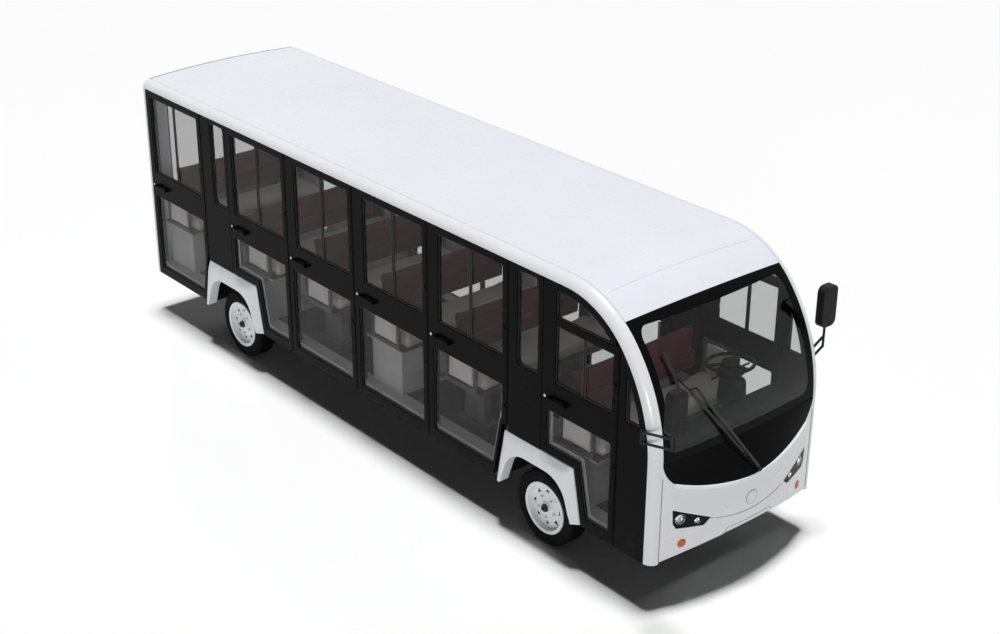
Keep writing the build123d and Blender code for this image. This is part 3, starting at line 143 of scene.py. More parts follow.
# %% [markdown]
# Paint, rubber and hide never have one flat colour. Each finish is a single Principled shader that noises
# feed. All noises read Object coordinates, so the grain has a size in metres and stays on the piece when a
# door or a wheel turns. The helpers here make the noises and the factors; the next ones turn them into
# looks.

# %% Helpers for factors
def finish(name, colour, gleam=0.5, **sockets):
    """A Principled material with its constant sockets written directly; gleam is its specular level."""
    material = bpy.data.materials.new(name)
    material.use_nodes = True
    shader = material.node_tree.nodes["Principled BSDF"]
    shader.inputs["Base Color"].default_value = (*colour, 1)
    shader.inputs["Specular IOR Level"].default_value = gleam
    for socket, value in sockets.items():
        shader.inputs[socket.replace("_", " ")].default_value = value
    return material


def add(material, kind):
    """A new shader node of a kind."""
    return material.node_tree.nodes.new(f"ShaderNode{kind}")


def link(material, output, socket):
    """Joins a node's output to another node's socket."""
    material.node_tree.links.new(output, socket)


def place(material, stretch=(1, 1, 1)):
    """Object coordinates, stretched."""
    where = add(material, "TexCoord")
    stretched = add(material, "Mapping")
    stretched.inputs["Scale"].default_value = stretch
    link(material, where.outputs["Object"], stretched.inputs["Vector"])
    return stretched.outputs["Vector"]


def speckle(material, scale, detail=3.0, stretch=(1, 1, 1)):
    """Soft noise: how many blotches to a metre, and how much finer detail."""
    noise = add(material, "TexNoise")
    noise.inputs["Scale"].default_value = scale
    noise.inputs["Detail"].default_value = detail
    link(material, place(material, stretch), noise.inputs["Vector"])
    return noise.outputs["Fac"]


def pebbles(material, scale):
    """Rounded cells, as in hide and moulded grain."""
    cells = add(material, "TexVoronoi")
    cells.inputs["Scale"].default_value = scale
    link(material, place(material), cells.inputs["Vector"])
    return cells.outputs["Distance"]


def coordinate(material, letter):
    """One Object coordinate by itself: X along, Y across or Z up."""
    parts = add(material, "SeparateXYZ")
    link(material, place(material), parts.inputs[0])
    return parts.outputs[letter]


def work_out(material, operation, *values):
    """A Math node on numbers and on other nodes' outputs."""
    result = add(material, "Math")
    result.operation = operation
    for socket, value in zip(result.inputs, values):
        if isinstance(value, (int, float)):
            socket.default_value = value
        else:
            link(material, value, socket)
    return result.outputs[0]


def from_middle(material):
    """How far a point lies from the middle plane of the car."""
    return work_out(material, "ABSOLUTE", coordinate(material, "Y"))

# %% [markdown]
# A factor becomes a look in three ways: it swings the colour, the roughness or the height of the surface.
# Short helpers for the three keep every finish down to a few lines that read like a paint recipe.

# %% Helpers for looks
MIX_UNDER, MIX_OVER, MIX_RESULT = 6, 7, 2


def swing(material, factor, low, high, span=(0.3, 0.7)):
    """Stretches a factor from its usual span to low and high."""
    stretch = add(material, "MapRange")
    for socket, value in zip(("From Min", "From Max", "To Min", "To Max"), (*span, low, high)):
        stretch.inputs[socket].default_value = value
    link(material, factor, stretch.inputs["Value"])
    return stretch.outputs["Result"]


def edge_at(material, factor, at, blur, before=0, after=1):
    """Changes from one value to another where a factor passes a place."""
    return swing(material, factor, before, after, span=(at - blur, at + blur))


def shade(material, factor, stops):
    """Colours from a ramp along a factor: each stop is a place and a colour."""
    ramp = add(material, "ValToRGB")
    first, last = ramp.color_ramp.elements
    first.position, last.position = stops[0][0], stops[-1][0]
    first.color, last.color = (*stops[0][1], 1), (*stops[-1][1], 1)
    for spot, colour in stops[1:-1]:
        ramp.color_ramp.elements.new(spot).color = (*colour, 1)
    link(material, factor, ramp.inputs["Fac"])
    return ramp.outputs["Color"]


def mottled(material, scale, dark, light, detail=3.0, span=(0.3, 0.7)):
    """Two colours that a noise runs into each other."""
    return shade(material, speckle(material, scale, detail), [(span[0], dark), (span[1], light)])


def blend(material, factor, under, over):
    """Lays one colour over another where the factor is high; a Mix node's colour sockets have numbers."""
    mix = add(material, "Mix")
    mix.data_type = "RGBA"
    link(material, factor, mix.inputs["Factor"])
    link(material, under, mix.inputs[MIX_UNDER])
    link(material, over, mix.inputs[MIX_OVER])
    return mix.outputs[MIX_RESULT]


def colour_by(material, colours):
    """Gives a varying colour to the shader."""
    link(material, colours, material.node_tree.nodes["Principled BSDF"].inputs["Base Color"])


def tint(material, scale, dark, light, detail=3.0, span=(0.3, 0.7)):
    """Lets a noise move the colour between two colours."""
    colour_by(material, mottled(material, scale, dark, light, detail, span))


def gloss(material, scale, low, high, detail=3.0, stretch=(1, 1, 1)):
    """Lets a noise move the roughness between two values."""
    rough = swing(material, speckle(material, scale, detail, stretch), low, high)
    link(material, rough, material.node_tree.nodes["Principled BSDF"].inputs["Roughness"])


def relief(material, factor, depth):
    """Raises the surface by a factor, depth in metres, over any relief already there."""
    shader = material.node_tree.nodes["Principled BSDF"]
    bump = add(material, "Bump")
    bump.inputs["Distance"].default_value = depth
    link(material, factor, bump.inputs["Height"])
    earlier = shader.inputs["Normal"].links
    if earlier:
        link(material, earlier[0].from_socket, bump.inputs["Normal"])
    link(material, bump.outputs["Normal"], shader.inputs["Normal"])


def grain(material, scale, depth, detail=3.0, stretch=(1, 1, 1)):
    """Raises the surface by a noise."""
    relief(material, speckle(material, scale, detail, stretch), depth)


def coat_nodes(material, *names):
    """Puts a finish on CAD nodes through their objects' slots, and counts them."""
    for name in names:
        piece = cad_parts[name]
        if not piece.material_slots:
            piece.data.materials.append(material)
        for slot in piece.material_slots:
            slot.link = "OBJECT"
            slot.material = material
    return len(names)

# %% [markdown]
# The floor is matt white with a weak gloss, which is what gives the faint mirror image under the wheels in
# the photograph. A plain large sheet is enough, since its edges lie far outside the picture.

# %% Floor
FLOOR_HALF = 60
floor_finish = finish("studio_floor", (0.98, 0.98, 0.98), gleam=0.12)
gloss(floor_finish, 3.0, 0.12, 0.2)
sheet = bmesh.new()
bmesh.ops.create_grid(sheet, x_segments=1, y_segments=1, size=FLOOR_HALF)
floor_mesh = bpy.data.meshes.new("studio_floor")
sheet.to_mesh(floor_mesh)
sheet.free()
floor_mesh.materials.append(floor_finish)
studio_floor = bpy.data.objects.new("studio_floor", floor_mesh)
scene.collection.objects.link(studio_floor)
print("floor laid,", 2 * FLOOR_HALF, "m square")

# %% [markdown]
# The rails, mask, flares and rear wall are sprayed steel and moulded plastic in one glossy cool white.
# Sprayed paint is never optically flat: a soft orange peel breaks up the reflections. One noise in the
# relief gives that, and a broader one lets the gloss wander a little, as on hand-polished panels.

# %% White enamel
white_enamel = finish("white_enamel", (0.8, 0.81, 0.83), Coat_Weight=0.35, Coat_Roughness=0.08)
tint(white_enamel, 1.3, (0.775, 0.785, 0.81), (0.815, 0.822, 0.84), detail=2.0)
gloss(white_enamel, 6.0, 0.24, 0.36)
grain(white_enamel, 12.0, 0.00005, detail=1.0)
coated = coat_nodes(white_enamel, "side_arches", "front_mask", "rear_wall", "wheel_flares")
print("white enamel on", coated, "solids")

# %% [markdown]
# The roof skin is painted a cooler, bluish white than the rails: painted light, standing for cool light
# falling on its upward faces. A sealed seam parts it from each rail, and a black rubber lip closes its rear
# edge. Neither is a piece of its own on the car, so they are drawn into the paint by distance: across the car
# for the seams, along it for the lip.

# %% Roof enamel
ROOF_SEAM_AT = 0.7265
ROOF_LIP_WIDTH = 0.015
ROOF_EDGE_BLUR = 0.001
roof_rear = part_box("roof_panel")[0].x
# painted light: the bluish base and mottle of the roof stand for cool light falling on it from above
roof_enamel = finish("sky_tinted_roof_enamel", (0.79, 0.815, 0.88), Coat_Weight=0.3, Coat_Roughness=0.08)
sky_tinted_white = mottled(roof_enamel, 1.3, (0.775, 0.8, 0.865), (0.8, 0.825, 0.89), detail=2.0)
seam_grey = mottled(roof_enamel, 30.0, (0.3, 0.3, 0.31), (0.36, 0.36, 0.37))
lip_black = mottled(roof_enamel, 30.0, (0.012, 0.012, 0.012), (0.02, 0.02, 0.02))
seam = edge_at(roof_enamel, from_middle(roof_enamel), ROOF_SEAM_AT, ROOF_EDGE_BLUR)
lip = edge_at(roof_enamel, coordinate(roof_enamel, "X"), roof_rear + ROOF_LIP_WIDTH, ROOF_EDGE_BLUR, 1, 0)
sealed_white = blend(roof_enamel, seam, sky_tinted_white, seam_grey)
colour_by(roof_enamel, blend(roof_enamel, lip, sealed_white, lip_black))
gloss(roof_enamel, 6.0, 0.24, 0.34)
coat_nodes(roof_enamel, "roof_panel")
print("roof enamel, seams at", ROOF_SEAM_AT, "m from the middle")

# %% [markdown]
# Doors, window posts and the screen surround are gloss black. Black paint shows its surroundings more than
# its own colour, so the reflection is kept modest, and a little road dust is laid over the lowest quarter
# of a metre.

# %% Black enamel
SIDES = (("left", 1), ("right", -1))
ROWS = range(1, 7)
DOORS = [(f"row_{k}_{side}", k, hand) for k in ROWS for side, hand in SIDES]
DUST_FADES = (0.34, 0.6)
black_enamel = finish("black_enamel", (0.0035, 0.0035, 0.004), gleam=0.035)
dust_reach = swing(black_enamel, coordinate(black_enamel, "Z"), 1, 0, span=DUST_FADES)
dust_patches = swing(black_enamel, speckle(black_enamel, 14.0, 5.0), 0, 0.6)
dust = work_out(black_enamel, "MULTIPLY", dust_reach, dust_patches)
clean_black, dusty_black = (0.003, 0.003, 0.0034), (0.014, 0.0135, 0.013)
colour_by(black_enamel, shade(black_enamel, dust, [(0, clean_black), (1, dusty_black)]))
gloss(black_enamel, 7.0, 0.16, 0.3)
grain(black_enamel, 40.0, 0.00006, detail=1.0)
coated = coat_nodes(black_enamel, "fixed_panels", "side_posts", "windscreen_surround", "cowl_panel",
                    *[f"door_{door}" for door, _, _ in DOORS])
print("black enamel on", coated, "solids")

# %% [markdown]
# The side panes are grey tinted safety glass and the windscreen is clear laminated glass. Real panes are
# thin solids here, so light is bent twice and the tint is taken once for each pane. Faint streaks in the
# roughness stand for wiped dust.

# %% Glass
side_glass = finish("grey_side_glass", (0.63, 0.63, 0.63), Transmission_Weight=1, IOR=1.16)
gloss(side_glass, 5.0, 0.0, 0.02, detail=4.0, stretch=(1, 1, 0.3))
screen_glass = finish("clear_screen_glass", (0.74, 0.75, 0.75), Transmission_Weight=1, IOR=1.22)
gloss(screen_glass, 4.0, 0.0, 0.015, detail=4.0)
coated = coat_nodes(side_glass, "fixed_glass", *[f"door_glass_{door}" for door, _, _ in DOORS])
coated += coat_nodes(screen_glass, "windscreen_glass")
print("glass on", coated, "nodes")

# %% [markdown]
# Mirror heads, wiper, dashboard and steering parts are moulded black plastic. The mould's grain is a
# pebble pattern about a millimetre across, which keeps the highlights broad and dull. Lamp housings are
# polished.

# %% Moulded plastic
grained_plastic = finish("grained_black_plastic", (0.007, 0.007, 0.0075), gleam=0.14)
tint(grained_plastic, 12.0, (0.006, 0.006, 0.0065), (0.01, 0.01, 0.0105))
gloss(grained_plastic, 9.0, 0.42, 0.6)
relief(grained_plastic, pebbles(grained_plastic, 700.0), 0.0002)
coated = coat_nodes(grained_plastic, "dashboard", "steering_gear", "mirrors", "wiper")
lamp_plastic = finish("gloss_lamp_black", (0.006, 0.006, 0.0065), gleam=0.07)
gloss(lamp_plastic, 8.0, 0.06, 0.14)
grain(lamp_plastic, 200.0, 0.0001)
coated += coat_nodes(lamp_plastic, "headlamp_housings")
print("plastic on", coated, "nodes")

# %% [markdown]
# Below the floor the frame, axles and battery tray are brushed with thick satin chassis paint. The
# knuckles are bare machined steel with fine turning marks, and the door hinges are painted black with the
# body.

# %% Chassis paint and steel
PAINT_WEAR = [(0.35, (0.012, 0.012, 0.012)), (0.6, (0.022, 0.021, 0.02)), (0.8, (0.05, 0.045, 0.04))]
chassis_paint = finish("chassis_paint", (0.02, 0.02, 0.02), gleam=0.3)
colour_by(chassis_paint, shade(chassis_paint, speckle(chassis_paint, 11.0, 6.0), PAINT_WEAR))
gloss(chassis_paint, 20.0, 0.4, 0.7)
grain(chassis_paint, 90.0, 0.0006, detail=4.0)
coated = coat_nodes(chassis_paint, "axles", "chassis_frame", "battery_box")
machined_steel = finish("machined_steel", (0.5, 0.5, 0.51), Metallic=1.0)
gloss(machined_steel, 60.0, 0.28, 0.5, stretch=(1, 1, 6))
grain(machined_steel, 500.0, 0.0002, detail=2.0, stretch=(0.1, 0.1, 1))
coated += coat_nodes(machined_steel, "knuckle_left", "knuckle_right")
hinge_paint = finish("hinge_black", (0.004, 0.004, 0.0045), gleam=0.05)
tint(hinge_paint, 15.0, (0.0035, 0.0035, 0.004), (0.006, 0.006, 0.0065))
gloss(hinge_paint, 40.0, 0.3, 0.5)
grain(hinge_paint, 150.0, 0.0003)
coated += coat_nodes(hinge_paint, "door_hinges")
print("chassis paint, steel and hinge black on", coated, "nodes")

# %% [markdown]
# The deck is plywood under a dark ribbed rubber mat, and a pale grey step strip runs along both long
# edges. One material does both: the distance from the middle decides the colour, and a wave gives the
# ribs.

# %% Deck mat and step strip
STEP_STRIP_FROM = 0.655
STEP_STRIP_BLUR = 0.002
RIB_SCALE = 18
RIB_HEIGHT = 0.0015
deck_mat = finish("ribbed_deck_mat", (0.03, 0.03, 0.032), gleam=0.3)
step_strip = edge_at(deck_mat, from_middle(deck_mat), STEP_STRIP_FROM, STEP_STRIP_BLUR)
mat_colour = mottled(deck_mat, 9.0, (0.028, 0.028, 0.03), (0.05, 0.05, 0.052), detail=5.0, span=(0.3, 0.75))
strip_colour = mottled(deck_mat, 12.0, (0.5, 0.5, 0.5), (0.6, 0.6, 0.6), detail=5.0)
colour_by(deck_mat, blend(deck_mat, step_strip, mat_colour, strip_colour))
gloss(deck_mat, 15.0, 0.55, 0.75)
ribs = add(deck_mat, "TexWave")
ribs.bands_direction = "Y"
ribs.inputs["Scale"].default_value = RIB_SCALE
ribs.inputs["Distortion"].default_value = 0
link(deck_mat, place(deck_mat), ribs.inputs["Vector"])
relief(deck_mat, ribs.outputs["Fac"], RIB_HEIGHT)
coat_nodes(deck_mat, "floor_deck")
house_grey = finish("wheel_house_grey", (0.4, 0.4, 0.41), gleam=0.3)
tint(house_grey, 10.0, (0.36, 0.36, 0.37), (0.46, 0.46, 0.47), detail=5.0)
gloss(house_grey, 15.0, 0.45, 0.65)
grain(house_grey, 160.0, 0.0004)
coat_nodes(house_grey, "wheel_houses")
print("deck and wheel houses set, step strip from", STEP_STRIP_FROM, "m")

# %% [markdown]
# Seat boxes and tubes are powder coated steel: a dry, slightly pebbled skin. The boxes are light grey, the
# slim pedestals of the second and fourth rows and all tubes are dark. One material follows the place along
# the car and the height of the seat pan, so the frames stay one solid.

# %% Seat frame coat
SEAT_PAN_HEIGHT = 0.845
SEAT_PAN_BLUR = 0.001
PEDESTAL_ROWS = (4, 2)
seat_coat = finish("grey_powder_coat", (0.4, 0.4, 0.4), gleam=0.25)
tube_grey = mottled(seat_coat, 8.0, (0.1, 0.1, 0.105), (0.14, 0.14, 0.145), detail=4.0)
box_grey = mottled(seat_coat, 8.0, (0.44, 0.44, 0.44), (0.52, 0.52, 0.52), detail=4.0)
below_pan = edge_at(seat_coat, coordinate(seat_coat, "Z"), SEAT_PAN_HEIGHT, SEAT_PAN_BLUR, 1, 0)
frame_colour = blend(seat_coat, below_pan, tube_grey, box_grey)
for k in PEDESTAL_ROWS:
    low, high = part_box(f"door_row_{k}_left")
    middle, half = (low.x + high.x) / 2, (high.x - low.x) / 2
    within = work_out(seat_coat, "COMPARE", coordinate(seat_coat, "X"), middle, half)
    frame_colour = blend(seat_coat, within, frame_colour, tube_grey)
colour_by(seat_coat, frame_colour)
gloss(seat_coat, 12.0, 0.45, 0.62)
relief(seat_coat, pebbles(seat_coat, 600.0), 0.00025)
coat_nodes(seat_coat, "seat_frames")
print("seat frames coated, pedestals in rows", PEDESTAL_ROWS)

# %% [markdown]
# Seat covers are stitched artificial hide: cream for cushions and end pads, maroon for the backrests. Hide
# has small rounded pebbles with darker valleys between them, and polished patches where people sit.

# %% Hides
HIDE_PEBBLES = 420.0


def hide(name, dark, light):
    """Grained upholstery hide between two colours."""
    skin = finish(name, light, gleam=0.35)
    cells = pebbles(skin, HIDE_PEBBLES)
    valley = shade(skin, cells, [(0.0, light), (0.75, dark)])
    patch = mottled(skin, 5.0, dark, light, detail=4.0, span=(0.3, 0.65))
    colour_by(skin, blend(skin, work_out(skin, "MULTIPLY", cells, 0.5), patch, valley))
    gloss(skin, 5.0, 0.38, 0.55, detail=4.0)
    relief(skin, cells, -0.0004)
    grain(skin, 30.0, 0.0012)
    return skin


cream_hide = hide("cream_hide", (0.63, 0.61, 0.56), (0.77, 0.75, 0.69))
maroon_hide = hide("maroon_hide", (0.10, 0.015, 0.022), (0.17, 0.028, 0.038))
coat_nodes(cream_hide, "seat_cushions")
coat_nodes(maroon_hide, "seat_backs")
print("hides with", round(1000 / HIDE_PEBBLES, 1), "mm pebbles")

# %% [markdown]
# Rims are white enamelled pressed steel and tyres are dull black. The white is kept to the outer face of a
# rim. The cut edges of its vents and everything behind the disc are coloured near black as painted shade, so
# that the vents read as dark holes; the distance from the middle of the car picks the colour.

# %% Rims and tyre rubber
CORNERS = [(end, side, hand) for end in ("front", "rear") for side, hand in SIDES]
RIM_WHITE_FROM = 0.7165
RIM_WHITE_BLUR = 0.0005
tyre_rubber = finish("tyre_rubber", (0.004, 0.004, 0.004), gleam=0.05)
tint(tyre_rubber, 12.0, (0.0035, 0.0035, 0.0035), (0.007, 0.0067, 0.0065), detail=5.0, span=(0.3, 0.75))
gloss(tyre_rubber, 20.0, 0.6, 0.85)
grain(tyre_rubber, 350.0, 0.0003, detail=2.0)
rim_enamel = finish("rim_enamel", (0.8, 0.81, 0.82), Coat_Weight=0.2, Coat_Roughness=0.15)
white_face = edge_at(rim_enamel, from_middle(rim_enamel), RIM_WHITE_FROM, RIM_WHITE_BLUR)
# painted shade: the near-black colour behind the rim's outer face stands for the shade in and behind the
# vents
painted_vent_shade = mottled(rim_enamel, 30.0, (0.01, 0.0095, 0.009), (0.02, 0.018, 0.016), detail=4.0)
rim_white = mottled(rim_enamel, 9.0, (0.77, 0.775, 0.785), (0.83, 0.835, 0.845), detail=5.0)
colour_by(rim_enamel, blend(rim_enamel, white_face, painted_vent_shade, rim_white))
gloss(rim_enamel, 14.0, 0.3, 0.45)
grain(rim_enamel, 200.0, 0.00015)
for end, side, _ in CORNERS:
    coat_nodes(tyre_rubber, f"tyre_{end}_{side}")
    coat_nodes(rim_enamel, f"rim_{end}_{side}")
print(len(CORNERS), "wheels coated")

# %% [markdown]
# New pieces come from bmesh. Most fittings of a car are turned parts, bent beads or rounded blocks, so one
# helper spins a short outline about an axis, one runs a round bead along a line, and one rounds a block.

# %% Helpers for shapes
WELD = 1e-5


def lathe(points, centre, axis, steps, ring=False):
    """Turns (along, radius) points about an axis through a centre; a ring closes its outline."""
    centre, axis = Vector(centre), Vector(axis).normalized()
    out = axis.orthogonal().normalized()
    shape = bmesh.new()
    outline = [shape.verts.new(centre + axis * along + out * radius) for along, radius in points]
    pairs = list(zip(outline, outline[1:]))
    if ring:
        pairs.append((outline[-1], outline[0]))
    for a, b in pairs:
        shape.edges.new((a, b))
    bmesh.ops.spin(shape, geom=shape.verts[:] + shape.edges[:], cent=centre, axis=axis, angle=2 * math.pi,
                   steps=steps, use_merge=True)
    bmesh.ops.remove_doubles(shape, verts=shape.verts, dist=WELD)
    bmesh.ops.recalc_face_normals(shape, faces=shape.faces)
    return shape


def bead(points, radius, sides=8):
    """A round bead along a line of points: a ring at each point, and the rings bridged."""
    points = [Vector(point) for point in points]
    strand = bmesh.new()
    rings = []
    for at, point in enumerate(points):
        ahead = points[min(at + 1, len(points) - 1)] - points[max(at - 1, 0)]
        stand = Matrix.Translation(point) @ ahead.to_track_quat("Z", "Y").to_matrix().to_4x4()
        ring = bmesh.ops.create_circle(strand, cap_ends=False, segments=sides, radius=radius, matrix=stand)
        rings.append(list({edge for vert in ring["verts"] for edge in vert.link_edges}))
    for ring, following in zip(rings, rings[1:]):
        bmesh.ops.bridge_loops(strand, edges=ring + following)
    bmesh.ops.holes_fill(strand, edges=[edge for edge in strand.edges if edge.is_boundary], sides=sides)
    bmesh.ops.recalc_face_normals(strand, faces=strand.faces)
    return strand


def round_edges(shape, edges, rounding, segments):
    """Rounds some edges of a shape."""
    bmesh.ops.bevel(shape, geom=edges, offset=rounding, affect="EDGES", segments=segments, profile=0.5,
                    material=-1)


def rounded_block(low, high, rounding, segments=3):
    """A block between two corners with all its edges rounded."""
    low, high = Vector(low), Vector(high)
    block = bmesh.new()
    bmesh.ops.create_cube(block, size=1)
    bmesh.ops.scale(block, vec=high - low, verts=block.verts)
    bmesh.ops.translate(block, vec=(low + high) / 2, verts=block.verts)
    round_edges(block, block.edges[:], rounding, segments)
    return block

# %% [markdown]
# Some pieces start as copies of CAD meshes, whose triangles have to be joined up first. A finished shape
# then becomes a piece that rides on a body of the car, so that it turns with its door or wheel.

# %% Helpers for pieces
def gather(first, *others):
    """Joins several shapes into the first one."""
    for other in others:
        spare = bpy.data.meshes.new("spare")
        other.to_mesh(spare)
        other.free()
        first.from_mesh(spare)
        bpy.data.meshes.remove(spare)
    return first


def merged_copy(node, flat=None):
    """A copy of a CAD node's mesh, joined up; faces that meet within a flat angle become one."""
    shape = bmesh.new()
    shape.from_mesh(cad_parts[node].data)
    bmesh.ops.remove_doubles(shape, verts=shape.verts, dist=WELD)
    if flat is not None:
        bmesh.ops.dissolve_limit(shape, angle_limit=math.radians(flat), verts=shape.verts, edges=shape.edges)
    return shape


def dress(name, shape, body, material, sharp=35):
    """Turns a finished shape into a piece that rides on a body, smooth up to an angle."""
    mesh = bpy.data.meshes.new(name)
    shape.to_mesh(mesh)
    shape.free()
    mesh.materials.append(material)
    mesh.shade_smooth()
    mesh.set_sharp_from_angle(angle=math.radians(sharp))
    piece = bpy.data.objects.new(name, mesh)
    scene.collection.objects.link(piece)
    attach(piece, body)
    return piece


def soften(piece, width, above):
    """Rounds the edges of a piece that are sharper than an angle."""
    rounding = piece.modifiers.new("rounding", "BEVEL")
    rounding.width = width
    rounding.segments = 3
    rounding.limit_method = "ANGLE"
    rounding.angle_limit = math.radians(above)

# %% [markdown]
# The tyres are low road tyres with five ribs parted by grooves. A spun section gives the round shape; the
# ribs are then inset face by face and raised, which cuts them into tread blocks without drawing each one.

# %% Tyres
TYRE_SIDE = [(0.066, 0.186), (0.0688, 0.1958), (0.0765, 0.203), (0.0815, 0.222), (0.0825, 0.24),
             (0.0805, 0.258), (0.0745, 0.272), (0.0675, 0.2795)]
TYRE_RIBS = [(0.0635, 0.2832), (0.0425, 0.2838), (0.041, 0.2765), (0.0365, 0.2765), (0.035, 0.284),
             (0.015, 0.2842), (0.0135, 0.2765), (0.009, 0.2765), (0.0075, 0.2842)]
TYRE_STEPS = 60
TREAD_FROM = 0.2825
TREAD_GAP = 0.0022
TREAD_RISE = 0.0037
half_section = TYRE_SIDE + TYRE_RIBS
tyre_section = half_section + [(-along, radius) for along, radius in reversed(half_section)]
wheel_centres = {}
for end, side, _ in CORNERS:
    low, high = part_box(f"tyre_{end}_{side}")
    centre = (low + high) / 2
    wheel_centres[end, side] = centre
    tyre = lathe(tyre_section, centre, (0, 1, 0), TYRE_STEPS, ring=True)
    blocks = [face for face in tyre.faces if all((v.co - centre).xz.length > TREAD_FROM for v in face.verts)]
    bmesh.ops.inset_individual(tyre, faces=blocks, thickness=TREAD_GAP, depth=TREAD_RISE)
    piece = dress(f"tyre_dressed_{end}_{side}", tyre, f"wheel_{end}_{side}", tyre_rubber)
    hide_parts(f"tyre_{end}_{side}")
print(len(CORNERS), "tyres,", len(blocks), "tread blocks each")

# %% [markdown]
# Two dark finishes show in the middle of a wheel. The hub cap is painted and a little shiny, and the brake
# drum behind the vents is rusty cast iron, which is browner and much rougher.

# %% Hub finishes
hub_black = finish("hub_black", (0.014, 0.014, 0.015), gleam=0.4)
gloss(hub_black, 60.0, 0.35, 0.6, detail=4.0)
grain(hub_black, 180.0, 0.0005)
drum_iron = finish("drum_iron", (0.02, 0.018, 0.017), gleam=0.2)
tint(drum_iron, 40.0, (0.012, 0.011, 0.011), (0.035, 0.028, 0.024), detail=5.0, span=(0.35, 0.75))
gloss(drum_iron, 80.0, 0.6, 0.85)
print("hub finishes mixed")

# %% [markdown]
# Behind the vents of the pressed rim sits the brake drum, and a hub cap with a nut stands in the middle.
# These are turned parts again. The wheel nuts are six-sided cones with a rounded top, repeated round the hub.

# %% Drums, hubs and wheel nuts
DRUM_SECTION = [(-0.03, 0.07), (-0.03, 0.156), (0.008, 0.156), (0.014, 0.15), (0.014, 0.07)]
CAP_SECTION = [(0.053, 0.033), (0.0635, 0.0335), (0.067, 0.031), (0.078, 0.029), (0.0845, 0.025),
               (0.086, 0.019), (0.0865, 0.0)]
SPINDLE_NUT = {"wide": 0.0135, "narrow": 0.0125, "tall": 0.012}
SPINDLE_NUT_OUT, SPINDLE_NUT_ROUNDING = 0.092, 0.0015
NUTS = 5
WHEEL_NUT = {"wide": 0.0085, "narrow": 0.0078, "tall": 0.014}
NUT_CIRCLE = 0.083
NUT_OUT = 0.058
NUT_ROUNDING = 0.003


def hexagon(wide, narrow, tall):
    """A six-sided nut that stands on Z and narrows a little."""
    nut = bmesh.new()
    bmesh.ops.create_cone(nut, cap_ends=True, segments=6, radius1=wide, radius2=narrow, depth=tall)
    return nut


def set_down(shape, stand, spot):
    """Turns a shape from Z to a wheel's axis and moves it to its spot."""
    bmesh.ops.rotate(shape, matrix=stand, verts=shape.verts)
    bmesh.ops.translate(shape, vec=spot, verts=shape.verts)
    return shape


for end, side, hand in CORNERS:
    centre = wheel_centres[end, side]
    out = Vector((0, hand, 0))
    stand = out.to_track_quat("Z", "Y").to_matrix()
    body = f"wheel_{end}_{side}"
    drum = lathe(DRUM_SECTION, centre, out, 48, ring=True)
    dress(f"brake_drum_{end}_{side}", drum, body, drum_iron)
    cap = lathe(CAP_SECTION, centre, out, 40)
    spindle_nut = hexagon(**SPINDLE_NUT)
    round_edges(spindle_nut, spindle_nut.edges[:], SPINDLE_NUT_ROUNDING, 2)
    set_down(spindle_nut, stand, centre + out * SPINDLE_NUT_OUT)
    dress(f"hub_cap_{end}_{side}", gather(cap, spindle_nut), body, hub_black)
    nuts = bmesh.new()
    for turn in range(NUTS):
        nut = hexagon(**WHEEL_NUT)
        top = max(nut.faces, key=lambda face: face.calc_center_median().z)
        bmesh.ops.inset_individual(nut, faces=[top], thickness=NUT_ROUNDING, depth=NUT_ROUNDING)
        spoke = Matrix.Rotation(2 * math.pi * (turn + 0.25) / NUTS, 3, "Y") @ Vector((NUT_CIRCLE, 0, 0))
        nuts = gather(nuts, set_down(nut, stand, centre + spoke + out * NUT_OUT))
    dress(f"wheel_nuts_{end}_{side}", nuts, body, machined_steel)
print("drums, caps and", NUTS, "nuts on each wheel")

# %% [markdown]
# The flares are moulded shells with soft edges, while the CAD ones are crisp. A merged copy of the CAD
# mesh gets a Bevel modifier, so the shape stays the same and only its edges catch a line of light.

# %% Soft-edged flares
FLARE_ROUNDING = 0.009
flares = merged_copy("wheel_flares", flat=2)
soft_flares = dress("soft_edged_flares", flares, "root", white_enamel, sharp=40)
soften(soft_flares, FLARE_ROUNDING, above=24)
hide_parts("wheel_flares")
print("flares rounded by", FLARE_ROUNDING, "m")

# %% [markdown]
# Inside the arches the faces of the houses that look at the wheel are covered in near black, so the wheel
# wells read dark. Those faces of the CAD houses are copied, lifted off by a few millimetres and given a
# thickness.

# %% Wheel arch liners
LINER_LIFT = 0.003
LINER_THICKNESS = 0.002
# a near-black finish for the faces of the wheel wells that look at the wheel
well_black = finish("wheel_well_black", (0.006, 0.006, 0.006), gleam=0.08)
tint(well_black, 25.0, (0.005, 0.005, 0.005), (0.011, 0.0105, 0.01), detail=5.0, span=(0.3, 0.75))
gloss(well_black, 40.0, 0.7, 0.9)
grain(well_black, 120.0, 0.0012, detail=4.0)


def looks_at_wheel(face):
    """True where a face of a wheel house is turned to its wheel."""
    middle = face.calc_center_median()
    nearest = min(wheel_centres.values(), key=lambda centre: (centre - middle).length)
    return face.normal.dot(nearest - middle) > 0


liners = merged_copy("wheel_houses")
bmesh.ops.delete(liners, geom=[face for face in liners.faces if not looks_at_wheel(face)], context="FACES")
liners.normal_update()
for point in liners.verts:
    point.co += point.normal * LINER_LIFT
bmesh.ops.solidify(liners, geom=liners.faces[:], thickness=LINER_THICKNESS)
dress("arch_liners", liners, "root", well_black)
print("arch liners", LINER_LIFT, "m off the houses")

# %% [markdown]
# Each pane sits in a black rubber gasket. The pane's own outline is the best pattern for it: a merged copy
# of the glass is reduced to its outer faces, inset once, and the narrow ring that this leaves is
# thickened.

# %% Pane gaskets
FACES_OUT = 0.99
GASKET_WIDTH, GASKET_PROUD = 0.009, 0.007
REAR_GASKET_WIDTH, REAR_GASKET_PROUD = 0.016, 0.006
gasket_rubber = finish("gasket_rubber", (0.02, 0.02, 0.02), gleam=0.35)
gloss(gasket_rubber, 25.0, 0.4, 0.6)
grain(gasket_rubber, 300.0, 0.0002)


